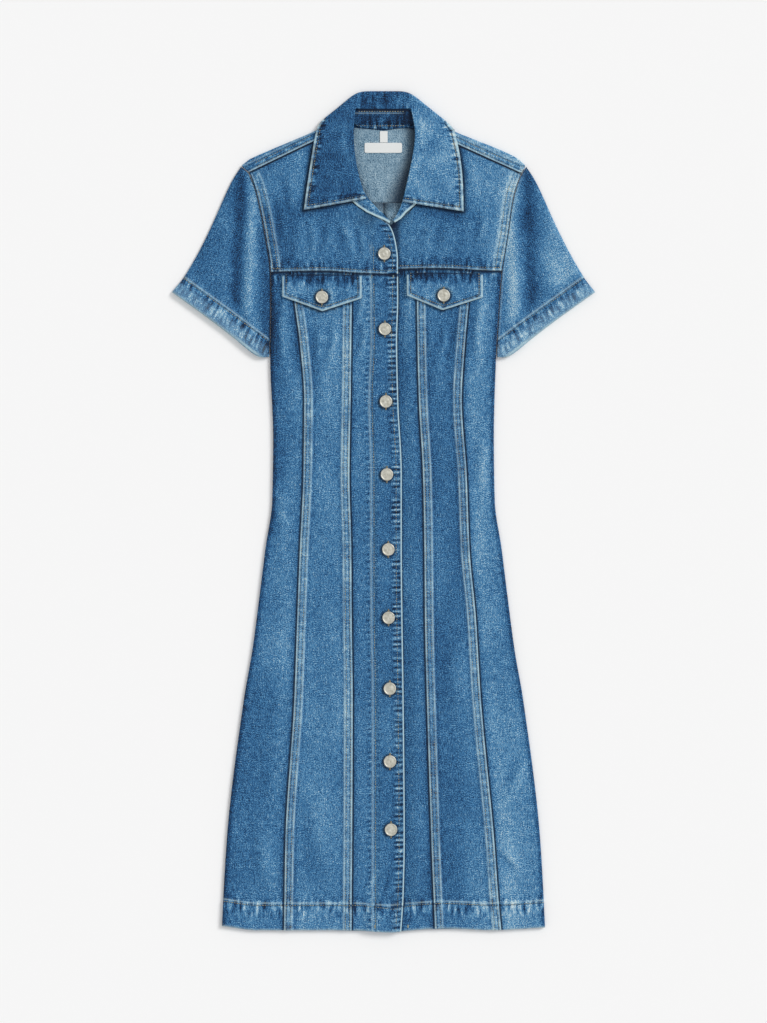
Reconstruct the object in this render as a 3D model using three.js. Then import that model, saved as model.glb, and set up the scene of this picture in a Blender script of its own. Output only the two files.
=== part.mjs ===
// A short-sleeved denim shirt dress, buttoned down the front and laid flat on its back.
// Millimetres. X runs to the viewer's right, Y up the garment to the collar, Z up from the surface
// that it lies on. The origin is on that surface, under the middle of the outline.
// "Left" and "right" are the viewer's. The left front laps over the right front.
import * as THREE from 'three';

// One layer of cloth, what is sewn double, and the spaces between pieces
const cloth = 1.2;
const doubled = 2.4;
const thickest = 3.0;
const seamGap = 0.3;
const restGap = 0.4;

// How far the front stands off the back inside: at the side folds, in the middle, under the buttons
const edgeFill = 1.6;
const middleFill = 2.8;
const pressedFill = 0.6;

// Levels along the length
const collarTop = 571.4;
const hemLevel = -571.4;
const hemDepth = 34;
const chestLevel = 325;
const backYokeSeam = 419.6;
const underarm = 322;

// Widths across the length
const lapWidth = 37;
const facingWidth = 34;
const seamBand = 11.5;
const seamRise = 0.8;

// The body's outer edge: side folds up to the underarm, then the armhole seams to the shoulder tips
const bodyEdge = [
  { y: -571.4, left: -219.6, right: 219.6 },
  { y: -447, left: -213.1, right: 213.1 },
  { y: -256, left: -189.9, right: 189.9 },
  { y: -188, left: -178.2, right: 178.2 },
  { y: -120, left: -169.2, right: 169.2 },
  { y: -51, left: -160.6, right: 160.6 },
  { y: 16, left: -151.2, right: 151.2 },
  { y: 100, left: -150, right: 150 },
  { y: 209, left: -154, right: 153 },
  { y: 290, left: -152.6, right: 157.8 },
  { y: 325, left: -153.2, right: 161 },
  { y: 375, left: -160.3, right: 168.8 },
  { y: 427, left: -170.7, right: 176.4 },
  { y: 458.5, left: -181.2, right: 187 },
  { y: 469, left: -192.6, right: 193 },
];

// The seam lines that shape the front, the edge of the upper front, and the back's like seams
const seamLines = [
  { y: -571.4, outerLeft: -135.5, innerLeft: -43.1, innerRight: 69.6, outerRight: 160.2, placket: 24 },
  { y: -524, outerLeft: -134.9, innerLeft: -42.9, innerRight: 67.5, outerRight: 156, placket: 27.2 },
  { y: -447, outerLeft: -133.7, innerLeft: -42.3, innerRight: 64.6, outerRight: 150.6, placket: 28.8 },
  { y: -256, outerLeft: -121.6, innerLeft: -41.6, innerRight: 58.5, outerRight: 132.6, placket: 27.3 },
  { y: -145, outerLeft: -117.6, innerLeft: -42.9, innerRight: 55.9, outerRight: 125.8, placket: 25.7 },
  { y: -51, outerLeft: -114, innerLeft: -43.5, innerRight: 55.1, outerRight: 117.1, placket: 24.8 },
  { y: 50, outerLeft: -109.3, innerLeft: -46, innerRight: 53.2, outerRight: 113.2, placket: 24.8 },
  { y: 152, outerLeft: -108.1, innerLeft: -44.4, innerRight: 47.6, outerRight: 106.6, placket: 20 },
  { y: 233, outerLeft: -114.5, innerLeft: -43.4, innerRight: 45.6, outerRight: 111.4, placket: 18.5 },
  { y: 288, outerLeft: -122, innerLeft: -42.8, innerRight: 44.9, outerRight: 116.6, placket: 20 },
  { y: 330, outerLeft: -127, innerLeft: -42.5, innerRight: 44.6, outerRight: 120.5, placket: 19.7 },
];

// The lower edge of the hem and the seam across the chest, which both wander a little
const hemLine = [
  { x: -219.6, y: -563 },
  { x: -170, y: -568.8 },
  { x: -43, y: -568.8 },
  { x: 11, y: -571.4 },
  { x: 26, y: -570 },
  { x: 82, y: -566.2 },
  { x: 146, y: -568.6 },
  { x: 219.6, y: -565 },
];
const chestSeam = [
  { x: -153, left: 325.4, right: 328 },
  { x: -83, left: 326.8, right: 328 },
  { x: -27, left: 323.6, right: 328.4 },
  { x: 21, left: 322.4, right: 329.4 },
  { x: 74, left: 322.4, right: 330.4 },
  { x: 138, left: 322.4, right: 327.4 },
  { x: 161, left: 322.4, right: 327 },
];

// The shoulder folds, and the seams where the back yoke, drawn over them, meets the fronts
const shoulderFold = [
  { x: 0, left: 521.2, right: 521.2 },
  { x: 36, left: 523.9, right: 523.9 },
  { x: 70, left: 528.4, right: 528.6 },
  { x: 96, left: 515.9, right: 516.6 },
  { x: 172, left: 483.6, right: 485.6 },
  { x: 181, left: 479.4, right: 480.6 },
  { x: 193, left: 469.6, right: 470.2 },
];
const forwardSeam = [
  { x: 70, left: 514.9, right: 513.2 },
  { x: 96, left: 502.5, right: 500.9 },
  { x: 181, left: 461.8, right: 462.6 },
  { x: 187, left: 458.9, right: 459.9 },
];

// The inner edge of each front above the chest: its button edge, then the seam of the collar stand
const frontInnerEdge = [
  { y: 320, left: 19.7, right: -17.3 },
  { y: 345, left: 19.6, right: -16.5 },
  { y: 360, left: 17.8, right: -13.5 },
  { y: 374, left: 14.7, right: -6 },
  { y: 389, left: 8, right: 9.5 },
  { y: 396, left: -4, right: 21 },
  { y: 404, left: -19, right: 32 },
  { y: 414, left: -36, right: 42 },
  { y: 426, left: -49, right: 54 },
  { y: 442, left: -59, right: 63 },
  { y: 470, left: -69, right: 71 },
  { y: 505, left: -73, right: 74 },
  { y: 513, left: -73.2, right: 74 },
];

// The collar from its left point, behind the neck, to its right point: the inner edge or stand seam,
// the outer edge or the fold that turns it under the neck, and the free edge underneath
const freeEdge = 530.5;
const backFold = collarTop - 1.2;
const collarSections = [
  { innerX: -23.5, innerY: 424.5, outerX: -108.2, outerY: 409.3, rise: 8.9, fold: 0 },
  { innerX: -28.5, innerY: 438, outerX: -105.9, outerY: 428, rise: 8.9, fold: 0 },
  { innerX: -36, innerY: 466, outerX: -101.5, outerY: 458, rise: 8.9, fold: 0 },
  { innerX: -40.2, innerY: 494, outerX: -96.4, outerY: 490, rise: 8.9, fold: 0 },
  { innerX: -40.4, innerY: 519, outerX: -91.4, outerY: 519.5, rise: 8.8, fold: 0.25 },
  { innerX: -39.6, innerY: 535, outerX: -84.6, outerY: 531.1, rise: 8.2, fold: 0.6, freeX: -84, freeY: 528.4 },
  { innerX: -38.8, innerY: 543, outerX: -72.8, outerY: 539.1, rise: 7.2, fold: 1, freeX: -75, freeY: 531 },
  { innerX: -37.6, innerY: 547.4, outerX: -60, outerY: 549.4, rise: 6.2, fold: 1, freeX: -65, freeY: freeEdge },
  { innerX: -35.6, innerY: 547.4, outerX: -46.9, outerY: 560.2, rise: 5.2, fold: 1, freeX: -50, freeY: freeEdge },
  { innerX: -32, innerY: 547.2, outerX: -34.4, outerY: 570, rise: 4.4, fold: 1, freeX: -35, freeY: freeEdge },
  { innerX: -17, innerY: 547, outerX: -17, outerY: backFold, rise: 4.3, fold: 1, freeX: -17, freeY: freeEdge },
  { innerX: 0, innerY: 547, outerX: 0, outerY: backFold, rise: 4.3, fold: 1, freeX: 0, freeY: freeEdge },
  { innerX: 17, innerY: 547, outerX: 17, outerY: backFold, rise: 4.3, fold: 1, freeX: 17, freeY: freeEdge },
  { innerX: 31, innerY: 547.2, outerX: 33.4, outerY: 570, rise: 4.4, fold: 1, freeX: 34, freeY: freeEdge },
  { innerX: 34.6, innerY: 547.4, outerX: 47.8, outerY: 559, rise: 5.2, fold: 1, freeX: 50, freeY: freeEdge },
  { innerX: 37, innerY: 547.2, outerX: 61.9, outerY: 547.7, rise: 6.2, fold: 1, freeX: 65, freeY: freeEdge },
  { innerX: 38.4, innerY: 541, outerX: 75.7, outerY: 536.6, rise: 7.2, fold: 1, freeX: 77, freeY: 531 },
  { innerX: 40.8, innerY: 530, outerX: 88.5, outerY: 528, rise: 8.2, fold: 0.6, freeX: 87.4, freeY: 525.4 },
  { innerX: 43.6, innerY: 514, outerX: 96.6, outerY: 517.5, rise: 8.8, fold: 0.25 },
  { innerX: 41, innerY: 490, outerX: 103, outerY: 490, rise: 8.9, fold: 0 },
  { innerX: 36, innerY: 466, outerX: 107.4, outerY: 458, rise: 8.9, fold: 0 },
  { innerX: 30, innerY: 438, outerX: 108.4, outerY: 428, rise: 8.9, fold: 0 },
  { innerX: 25.5, innerY: 420.5, outerX: 108.8, outerY: 407.3, rise: 8.9, fold: 0 },
];

// The collar stand on the same way round: the neck seam, and its upper edge under the collar.
// Its two ends are turned out over the fronts, inner face up.
const standSections = [
  { seamX: 8.2, seamY: 391.6, topX: 9.4, topY: 393.2, seamZ: 8.9, topZ: 8.9 },
  { seamX: -0.7, seamY: 396.4, topX: 1.4, topY: 402.6, seamZ: 8.0, topZ: 7.9 },
  { seamX: -11.7, seamY: 401.2, topX: -8.4, topY: 411.5, seamZ: 7.4, topZ: 7.1 },
  { seamX: -22.8, seamY: 406.4, topX: -16, topY: 419.8, seamZ: 7.0, topZ: 6.4 },
  { seamX: -35.5, seamY: 415, topX: -23.5, topY: 429, seamZ: 4.9, topZ: 6.2 },
  { seamX: -48.4, seamY: 427, topX: -30, topY: 441, seamZ: 4.5, topZ: 6.2 },
  { seamX: -58.2, seamY: 442, topX: -34.8, topY: 454, seamZ: 4.5, topZ: 6.2 },
  { seamX: -68.4, seamY: 470.2, topX: -38.6, topY: 474, seamZ: 4.5, topZ: 6.2 },
  { seamX: -66, seamY: 505, topX: -42, topY: 505, seamZ: 4.6, topZ: 6.2 },
  { seamX: -57, seamY: 517, topX: -42.6, topY: 515, seamZ: 4.4, topZ: 6.2 },
  { seamX: -47.5, seamY: 525, topX: -43.2, topY: 523, seamZ: 3.9, topZ: 6.2 },
  { seamX: -44.4, seamY: 527.4, topX: -43.4, topY: 527, seamZ: 3.6, topZ: 6.1 },
  { seamX: -41, seamY: 528.5, topX: -43, topY: 531.5, seamZ: 3.4, topZ: 5.8 },
  { seamX: -37.8, seamY: 526, topX: -40.4, topY: 541, seamZ: 3.0, topZ: 4.9 },
  { seamX: -34.5, seamY: 522.8, topX: -34, topY: 546.5, seamZ: 1.1, topZ: 4.2 },
  { seamX: -17, seamY: 521, topX: -17, topY: 546.5, seamZ: 1.1, topZ: 4.2 },
  { seamX: 0, seamY: 520, topX: 0, topY: 546.5, seamZ: 1.1, topZ: 4.2 },
  { seamX: 17, seamY: 521, topX: 17, topY: 546.5, seamZ: 1.1, topZ: 4.2 },
  { seamX: 34.5, seamY: 522.8, topX: 33, topY: 546.5, seamZ: 1.1, topZ: 4.2 },
  { seamX: 38, seamY: 526, topX: 39.2, topY: 540.5, seamZ: 3.0, topZ: 4.9 },
  { seamX: 41.2, seamY: 528.7, topX: 43.2, topY: 531.7, seamZ: 3.4, topZ: 5.8 },
  { seamX: 44.8, seamY: 527.2, topX: 44, topY: 526.4, seamZ: 3.6, topZ: 6.1 },
  { seamX: 48, seamY: 525, topX: 44, topY: 521.5, seamZ: 3.9, topZ: 6.2 },
  { seamX: 58, seamY: 517, topX: 44.4, topY: 513, seamZ: 4.4, topZ: 6.2 },
  { seamX: 67, seamY: 505, topX: 44.5, topY: 503, seamZ: 4.6, topZ: 6.2 },
  { seamX: 70.4, seamY: 470.2, topX: 39, topY: 474, seamZ: 4.5, topZ: 6.2 },
  { seamX: 62.2, seamY: 442, topX: 34.6, topY: 452, seamZ: 4.5, topZ: 6.2 },
  { seamX: 53.4, seamY: 426.6, topX: 30.4, topY: 438, seamZ: 4.5, topZ: 6.2 },
  { seamX: 41.4, seamY: 415, topX: 27, topY: 425, seamZ: 4.9, topZ: 6.2 },
  { seamX: 30.8, seamY: 406, topX: 23.4, topY: 414, seamZ: 6.8, topZ: 6.4 },
  { seamX: 23.7, seamY: 397.6, topX: 18.4, topY: 403.6, seamZ: 6.8, topZ: 6.6 },
  { seamX: 15.4, seamY: 392.4, topX: 12.8, topY: 395.4, seamZ: 6.6, topZ: 6.6 },
];
const standThickness = 2.0;

// The sleeves' outer folds and the ends of their hems
const sleeveFold = [
  { y: 468.4, left: -193.6, right: 194 },
  { y: 450.2, left: -206, right: 206.6 },
  { y: 402.3, left: -227, right: 227.8 },
  { y: 350.2, left: -251.9, right: 253.4 },
  { y: 315.9, left: -272.7, right: 273.8 },
  { y: 298.1, left: -287.6, right: 287.6 },
];
const cuffInnerEnd = { y: 205.6, left: -156.6, right: 155.6 };
const cuffUnderarm = { y: 213, left: -154.6, right: 154.2 };

// The soft crease of each sleeve: a trough with a ridge beside it, both running down the arm
const sleeveCrease = { trough: -1.1, troughOut: 13, ridge: 1.6, spread: 8, topX: 177, endX: 184, endY: 240 };

// Pocket flaps, with their lower corners and point
const flaps = [
  { name: 'pocket_flap_left', left: -137.6, right: -29.5, top: 322.2, leftLow: 291.7, rightLow: 289.3,
    pointX: -83, pointY: 271.7, buttonX: -83.6, buttonY: 290.8 },
  { name: 'pocket_flap_right', left: 31.6, right: 135, top: 324.4, leftLow: 293.1, rightLow: 290.5,
    pointX: 80.2, pointY: 273, buttonX: 81.7, buttonY: 293.2 },
];
const flapThickness = 2.0;

// Buttons down the front, from the top
const frontButtons = [
  { x: 1.1, y: 349.9 },
  { x: 1.9, y: 247.8 },
  { x: 3.3, y: 149.3 },
  { x: 4.6, y: 50.2 },
  { x: 6.5, y: -51.5 },
  { x: 6.9, y: -144.2 },
  { x: 8.6, y: -240.4 },
  { x: 8.8, y: -339.3 },
  { x: 10.2, y: -431.8 },
];
const button = { radius: 8.5, shank: 2.4, stand: 0.9, rim: 1.7, dish: 1.3, crown: 1.9, sides: 16 };

// The plain label and hanger loop inside the neck
const label = { left: -25.7, right: 25.2, low: 487.6, high: 501.2, thickness: 0.6 };
const loop = { left: -4.8, right: 5.6, low: 501.6, high: 517, thickness: 0.9 };

// Colours read from the photograph, with a rough, unpolished surface on the cloth
const washedDenim = { color: 0x3f6f9f, roughness: 0.92, metalness: 0 };
const darkDenim = { color: 0x2f5a88, roughness: 0.92, metalness: 0 };
const wovenTape = { color: 0xe6e4de, roughness: 0.85, metalness: 0 };
const paleMetal = { color: 0xc9c3b2, roughness: 0.35, metalness: 1 };

const dress = new THREE.Group();

function addPiece(name, geometry, finish) {
  const mesh = new THREE.Mesh(geometry, new THREE.MeshStandardMaterial(finish));
  mesh.name = name;
  dress.add(mesh);
  return mesh;
}

// Curves through the rows of a table, without overshoot
function follow(rows, along, column) {
  const at = rows.map((row) => row[along]);
  const value = rows.map((row) => row[column]);
  const slope = [];
  for (let i = 0; i + 1 < at.length; i += 1) slope.push((value[i + 1] - value[i]) / (at[i + 1] - at[i]));
  const tangent = at.map((_, i) => {
    if (i === 0) return slope[0];
    if (i === at.length - 1) return slope[i - 1];
    if (slope[i - 1] * slope[i] <= 0) return 0;
    return 2 / (1 / slope[i - 1] + 1 / slope[i]);
  });
  return (position) => {
    if (position <= at[0]) return value[0];
    if (position >= at.at(-1)) return value.at(-1);
    const i = at.findIndex((start, k) => position < at[k + 1]);
    const span = at[i + 1] - at[i];
    const t = (position - at[i]) / span;
    const h = [(1 + 2 * t) * (1 - t) ** 2, t * (1 - t) ** 2, t * t * (3 - 2 * t), t * t * (t - 1)];
    return h[0] * value[i] + h[1] * span * tangent[i] + h[2] * value[i + 1] + h[3] * span * tangent[i + 1];
  };
}

const mix = THREE.MathUtils.lerp;

// Goes softly from 0 at start to 1 at end, in either direction
function ease(start, end, value) {
  const t = THREE.MathUtils.clamp((value - start) / (end - start), 0, 1);
  return t * t * (3 - 2 * t);
}

const edgeAt = { left: follow(bodyEdge, 'y', 'left'), right: follow(bodyEdge, 'y', 'right') };
const seamAt = {};
for (const column of ['outerLeft', 'innerLeft', 'innerRight', 'outerRight', 'placket']) {
  seamAt[column] = follow(seamLines, 'y', column);
}
const frontEdgeAt = {
  left: follow(frontInnerEdge, 'y', 'left'),
  right: follow(frontInnerEdge, 'y', 'right'),
};
const hemAt = follow(hemLine, 'x', 'y');
const chestAt = { left: follow(chestSeam, 'x', 'left'), right: follow(chestSeam, 'x', 'right') };
const shoulderAt = { left: follow(shoulderFold, 'x', 'left'), right: follow(shoulderFold, 'x', 'right') };
const forwardAt = { left: follow(forwardSeam, 'x', 'left'), right: follow(forwardSeam, 'x', 'right') };

// Closes two grids of points, a piece's outer and inner face, into one solid
function wall(outer, inner, ring = false) {
  const rows = outer.length;
  const columns = outer[0].length;
  const points = [...outer.flat(), ...inner.flat()];
  const faces = [];
  const id = (face, row, column) => (face * rows + row) * columns + (column % columns);
  const quad = (a, b, c, d) => faces.push(a, b, c, a, c, d);
  const lastColumn = ring ? columns : columns - 1;
  for (let c = 0; c < lastColumn; c += 1) {
    for (let r = 0; r + 1 < rows; r += 1) {
      quad(id(0, r, c), id(0, r, c + 1), id(0, r + 1, c + 1), id(0, r + 1, c));
      quad(id(1, r, c), id(1, r + 1, c), id(1, r + 1, c + 1), id(1, r, c + 1));
    }
    quad(id(0, 0, c), id(1, 0, c), id(1, 0, c + 1), id(0, 0, c + 1));
    quad(id(0, rows - 1, c), id(0, rows - 1, c + 1), id(1, rows - 1, c + 1), id(1, rows - 1, c));
  }
  for (let r = 0; r + 1 < rows && !ring; r += 1) {
    quad(id(0, r, 0), id(0, r + 1, 0), id(1, r + 1, 0), id(1, r, 0));
    quad(id(0, r, columns - 1), id(1, r, columns - 1), id(1, r + 1, columns - 1), id(0, r + 1, columns - 1));
  }
  let volume = 0;
  for (let f = 0; f < faces.length; f += 3) {
    const [a, b, c] = [points[faces[f]], points[faces[f + 1]], points[faces[f + 2]]];
    volume += a.dot(new THREE.Vector3().crossVectors(b, c));
  }
  if (volume < 0) faces.reverse();
  const geometry = new THREE.BufferGeometry().setFromPoints(points);
  geometry.setIndex(faces);
  return geometry;
}

// Gives a grid of middle points an even thickness, half to each side
function thicken(grid, thickness) {
  const shifted = (sign) => grid.map((row, r) => row.map((point, c) => {
    const alongRow = new THREE.Vector3().subVectors(
      row[Math.min(c + 1, row.length - 1)], row[Math.max(c - 1, 0)]);
    const acrossRows = new THREE.Vector3().subVectors(
      grid[Math.min(r + 1, grid.length - 1)][c], grid[Math.max(r - 1, 0)][c]);
    const normal = new THREE.Vector3().crossVectors(alongRow, acrossRows).normalize();
    return point.clone().addScaledVector(normal, sign * thickness / 2);
  }));
  return [shifted(1), shifted(-1)];
}

// The hem is turned up inside, so each layer is double there
const hemShare = (y) => ease(hemLevel + hemDepth + 2, hemLevel + hemDepth - 2, y);
const layerAt = (y) => cloth * (1 + hemShare(y));

// The underside of the front where nothing presses or lifts it
function frontUnder(x, y) {
  const half = (edgeAt.right(y) - edgeAt.left(y)) / 2;
  const outward = Math.min(1, Math.abs(x) / half);
  const fill = edgeFill + (middleFill - edgeFill) * (1 - outward ** 2.5);
  return layerAt(y) + restGap + fill * (1 - 0.75 * hemShare(y));
}

// The right front lies flat under the buttons, and the left front lies over it
const pressedUnder = (y) => layerAt(y) + restGap + pressedFill;
const facedLayer = (y) => Math.min(doubled + cloth * hemShare(y), thickest);
const lapUnder = (y) => pressedUnder(y) + facedLayer(y) + restGap;

const fronts = {
  right: {
    under: (x, y) => {
      const pressed = ease(seamAt.placket(y) + 18, seamAt.placket(y) + 3, x);
      return mix(frontUnder(x, y), pressedUnder(y), pressed);
    },
    layer: (x, y) => mix(layerAt(y), facedLayer(y),
      ease(seamAt.placket(y) - lapWidth + facingWidth + 2, seamAt.placket(y) - lapWidth + facingWidth, x)),
  },
  left: {
    under: (x, y) => {
      const lapped = ease(seamAt.placket(y) - lapWidth - 19, seamAt.placket(y) - lapWidth - 2, x);
      return mix(frontUnder(x, y), lapUnder(y), lapped * ease(408, 392, y));
    },
    layer: (x, y) => mix(layerAt(y), facedLayer(y),
      ease(seamAt.placket(y) - facingWidth - 2, seamAt.placket(y) - facingWidth, x)),
  },
};
const frontTop = (side, x, y) => fronts[side].under(x, y) + fronts[side].layer(x, y);

// Heights of the rows of points in the long panels, close where the hem and the seams need them
const longRows = [-571.4, -556, -539.6, -535.2, -500, -447, -385, -320, -256, -188, -120, -51, 16, 68, 110,
  152, 209, 250, 288, 306, 325];

// Moves a row's level to follow the hem below and the chest seam above
function levelAt(side, x, level) {
  const hemShift = (hemAt(x) - hemLevel) * ease(hemLevel + 120, hemLevel + hemDepth, level);
  const chestShift = (chestAt[side](x) - chestLevel) * ease(chestLevel - 75, chestLevel, level);
  return level + hemShift + chestShift;
}

// Front panels below the chest: centre, middle and side on each hand
function longPanel(side, columnsAt, riseAt) {
  const top = [];
  const under = [];
  for (const level of longRows) {
    const isTop = level === longRows.at(-1);
    const columns = columnsAt(level);
    const point = (x, lower) => {
      const y = levelAt(side, x, level) - (isTop ? seamGap / 2 : 0);
      const thickness = fronts[side].layer(x, level) + riseAt(x, columns);
      const z = fronts[side].under(x, level) + (lower ? 0 : thickness);
      return new THREE.Vector3(x, y, z);
    };
    top.push(columns.map((x) => point(x, false)));
    under.push(columns.map((x) => point(x, true)));
  }
  return wall(top, under);
}

const noRise = () => 0;
const spread = (from, to, shares) => shares.map((share) => mix(from, to, share));

addPiece('front_centre_left', longPanel('left', (y) => {
  const start = seamAt.innerLeft(y) + seamGap / 2;
  const edge = seamAt.placket(y);
  const liftStart = edge - lapWidth - 11;
  const lapStart = edge - lapWidth - 1;
  const facingStart = edge - facingWidth;
  const middle = mix(start, liftStart, 0.4);
  return [start, middle, liftStart, lapStart, facingStart, mix(facingStart, edge, 0.5), edge];
}, noRise), washedDenim);

addPiece('front_centre_right', longPanel('right', (y) => {
  const start = seamAt.placket(y) - lapWidth;
  const facingEnd = start + facingWidth;
  const pressedEnd = facingEnd + 12;
  const end = seamAt.innerRight(y) - seamGap / 2;
  const middle = mix(pressedEnd, end, 0.5);
  return [start, mix(start, facingEnd, 0.5), facingEnd, facingEnd + 2.5, pressedEnd, middle, end];
}, noRise), washedDenim);

// The middle panels carry the raised, twice stitched seams along both their edges
for (const [side, from, to] of [['left', 'outerLeft', 'innerLeft'], ['right', 'innerRight', 'outerRight']]) {
  const columnsAt = (y) => {
    const start = seamAt[from](y) + seamGap / 2;
    const end = seamAt[to](y) - seamGap / 2;
    return [start, start + seamBand, start + seamBand + 2, (start + end) / 2,
      end - seamBand - 2, end - seamBand, end];
  };
  const riseAt = (x, columns) => {
    const inward = Math.min(x - columns[0], columns.at(-1) - x);
    return inward < seamBand + 0.5 ? seamRise : 0;
  };
  addPiece(`front_middle_${side}`, longPanel(side, columnsAt, riseAt), washedDenim);
}

// The side panels roll round the side fold down to the surface, where the back begins
const foldTail = 0.6;
const foldAngles = [45, 90, 135, 180];

function sideFold(side, y) {
  const sign = side === 'left' ? -1 : 1;
  const edge = edgeAt[side](y);
  const height = frontTop(side, edge - sign * 2.4, y);
  return { sign, edge, radius: height / 2 };
}

for (const side of ['left', 'right']) {
  const outer = [];
  const inner = [];
  for (const level of longRows) {
    const { sign, edge, radius } = sideFold(side, level);
    const seam = (side === 'left' ? seamAt.outerLeft(level) : seamAt.outerRight(level)) + sign * seamGap / 2;
    const foldX = edge - sign * radius;
    const layer = layerAt(level);
    const place = (x, z, nearX) => {
      const y = levelAt(side, nearX, level) - (level === longRows.at(-1) ? seamGap / 2 : 0);
      return new THREE.Vector3(x, y, z);
    };
    const outerRow = [];
    const innerRow = [];
    for (const x of spread(seam, foldX, [0, 0.45, 0.85, 1])) {
      const top = x === foldX ? 2 * radius : frontTop(side, x, level);
      outerRow.push(place(x, top, x));
      innerRow.push(place(x, top - layer, x));
    }
    for (const angle of foldAngles) {
      const turn = THREE.MathUtils.degToRad(angle);
      const [across, up] = [sign * Math.sin(turn), Math.cos(turn)];
      outerRow.push(place(foldX + across * radius, radius + up * radius, foldX));
      innerRow.push(place(foldX + across * (radius - layer), radius + up * (radius - layer), foldX));
    }
    outerRow.push(place(foldX - sign * foldTail, 0, foldX));
    innerRow.push(place(foldX - sign * foldTail, layer, foldX));
    outer.push(outerRow);
    inner.push(innerRow);
  }
  addPiece(`front_side_${side}`, wall(outer, inner), washedDenim);
}

// Front yokes, from the chest seam to the shoulder seam and the collar stand
const yokeRows = [chestLevel, 332, 345, 360, 374, 389, 396, 404, 414, 426, 442, 459.5, 470, 488, 505, 510];
const yokeShares = [0, 0.06, 0.24, 0.42, 0.6, 0.68, 0.775, 0.81, 0.9, 1];

for (const side of ['left', 'right']) {
  const sign = side === 'left' ? -1 : 1;
  const shoulderX = (y) => {
    const seam = forwardAt[side];
    let x = 187;
    while (x > 70 && seam(x) - seamGap / 2 < y) x -= 0.25;
    return sign * x;
  };
  const top = [];
  const under = [];
  for (const level of yokeRows) {
    const armhole = edgeAt[side](level) - sign * seamGap / 2;
    const shoulder = shoulderX(level);
    const outerX = Math.abs(shoulder) < Math.abs(armhole) ? shoulder : armhole;
    const columns = spread(outerX, frontEdgeAt[side](level), yokeShares);
    const place = (x, lower) => {
      const y = level + (chestAt[side](x) - chestLevel) * ease(chestLevel + 50, chestLevel, level)
        + (level === chestLevel ? seamGap / 2 : 0);
      return new THREE.Vector3(x, y, lower ? fronts[side].under(x, y) : frontTop(side, x, y));
    };
    top.push(columns.map((x) => place(x, false)));
    under.push(columns.map((x) => place(x, true)));
  }
  addPiece(`front_yoke_${side}`, wall(top, under), washedDenim);
}

// The back yoke lies flat behind the neck and is drawn forward over both shoulders
const yokeStations = [192, 188, 184, 181, 170, 148, 122, 103, 93, 86, 80, 74, 69, 56, 38, 20, 0];
const wrapFull = 92;
const wrapNone = 69;

function backYokeSection(side, across) {
  const sign = side === 'left' ? -1 : 1;
  const x = sign * across;
  let armholeLow = backYokeSeam + seamGap / 2;
  while (armholeLow < 469 && Math.abs(edgeAt[side](armholeLow)) - seamGap / 2 < across) armholeLow += 0.25;
  const foldY = shoulderAt[side](across);
  const wrapEnd = Math.max(forwardAt[side](across) + seamGap / 2, armholeLow);
  const height = frontTop(side, x, Math.min(foldY - 2.4, 468));
  const radius = height / 2;
  const flatEnd = Math.max(foldY - radius, armholeLow + 0.3);
  const outer = [];
  const inner = [];
  for (const share of [0, 0.5, 0.86, 1]) {
    outer.push([mix(armholeLow, flatEnd, share), 0]);
    inner.push([mix(armholeLow, flatEnd, share), cloth]);
  }
  for (const angle of foldAngles) {
    const turn = THREE.MathUtils.degToRad(angle);
    outer.push([flatEnd + Math.sin(turn) * radius, radius - Math.cos(turn) * radius]);
    inner.push([flatEnd + Math.sin(turn) * (radius - cloth), radius - Math.cos(turn) * (radius - cloth)]);
  }
  for (const share of [0.5, 1]) {
    const y = mix(flatEnd, Math.min(wrapEnd, flatEnd - 0.3), share);
    const top = mix(height, frontTop(side, x, y), share);
    outer.push([y, top]);
    inner.push([y, top - cloth]);
  }
  const reach = mix(3, outer.length - 1, ease(wrapNone, wrapFull, across));
  const sample = (path, i) => {
    const position = (i / (path.length - 1)) * reach;
    const k = Math.min(Math.floor(position), path.length - 2);
    const y = mix(path[k][0], path[k + 1][0], position - k);
    const z = mix(path[k][1], path[k + 1][1], position - k);
    return new THREE.Vector3(x, y, z);
  };
  return [outer.map((_, i) => sample(outer, i)), inner.map((_, i) => sample(inner, i))];
}

const backYokeSections = [
  ...yokeStations.map((across) => backYokeSection('left', across)),
  ...yokeStations.slice(0, -1).reverse().map((across) => backYokeSection('right', across)),
];
const yokeOuter = backYokeSections.map(([outer]) => outer);
const yokeInner = backYokeSections.map(([, inner]) => inner);
addPiece('back_yoke', wall(yokeOuter, yokeInner), washedDenim);

// The back below its yoke: two centre panels and two side panels, flat on the surface
const backRows = [...longRows.slice(0, -2), 318, 326.5, 331, 352, 375, 400, backYokeSeam - seamGap / 2];

function backEdge(side, y) {
  const { sign, edge, radius } = sideFold(side, Math.min(y, chestLevel));
  const besideFold = edge - sign * (radius + foldTail + seamGap);
  const atArmhole = edgeAt[side](y) - sign * seamGap / 2;
  return mix(besideFold, atArmhole, ease(326.5, 331, y));
}

// The back follows the hem, but not the seam across the front's chest
const backLevelAt = (side, x, level) => (level < chestLevel - 75 ? levelAt(side, x, level) : level);

function backPanel(side, startAt, endAt) {
  const lower = [];
  const upper = [];
  for (const level of backRows) {
    const columns = spread(startAt(level), endAt(level), [0, 0.5, 1]);
    const place = (x, z) => new THREE.Vector3(x, backLevelAt(side, x, level), z);
    lower.push(columns.map((x) => place(x, 0)));
    upper.push(columns.map((x) => place(x, layerAt(level))));
  }
  return wall(upper, lower);
}

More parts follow.
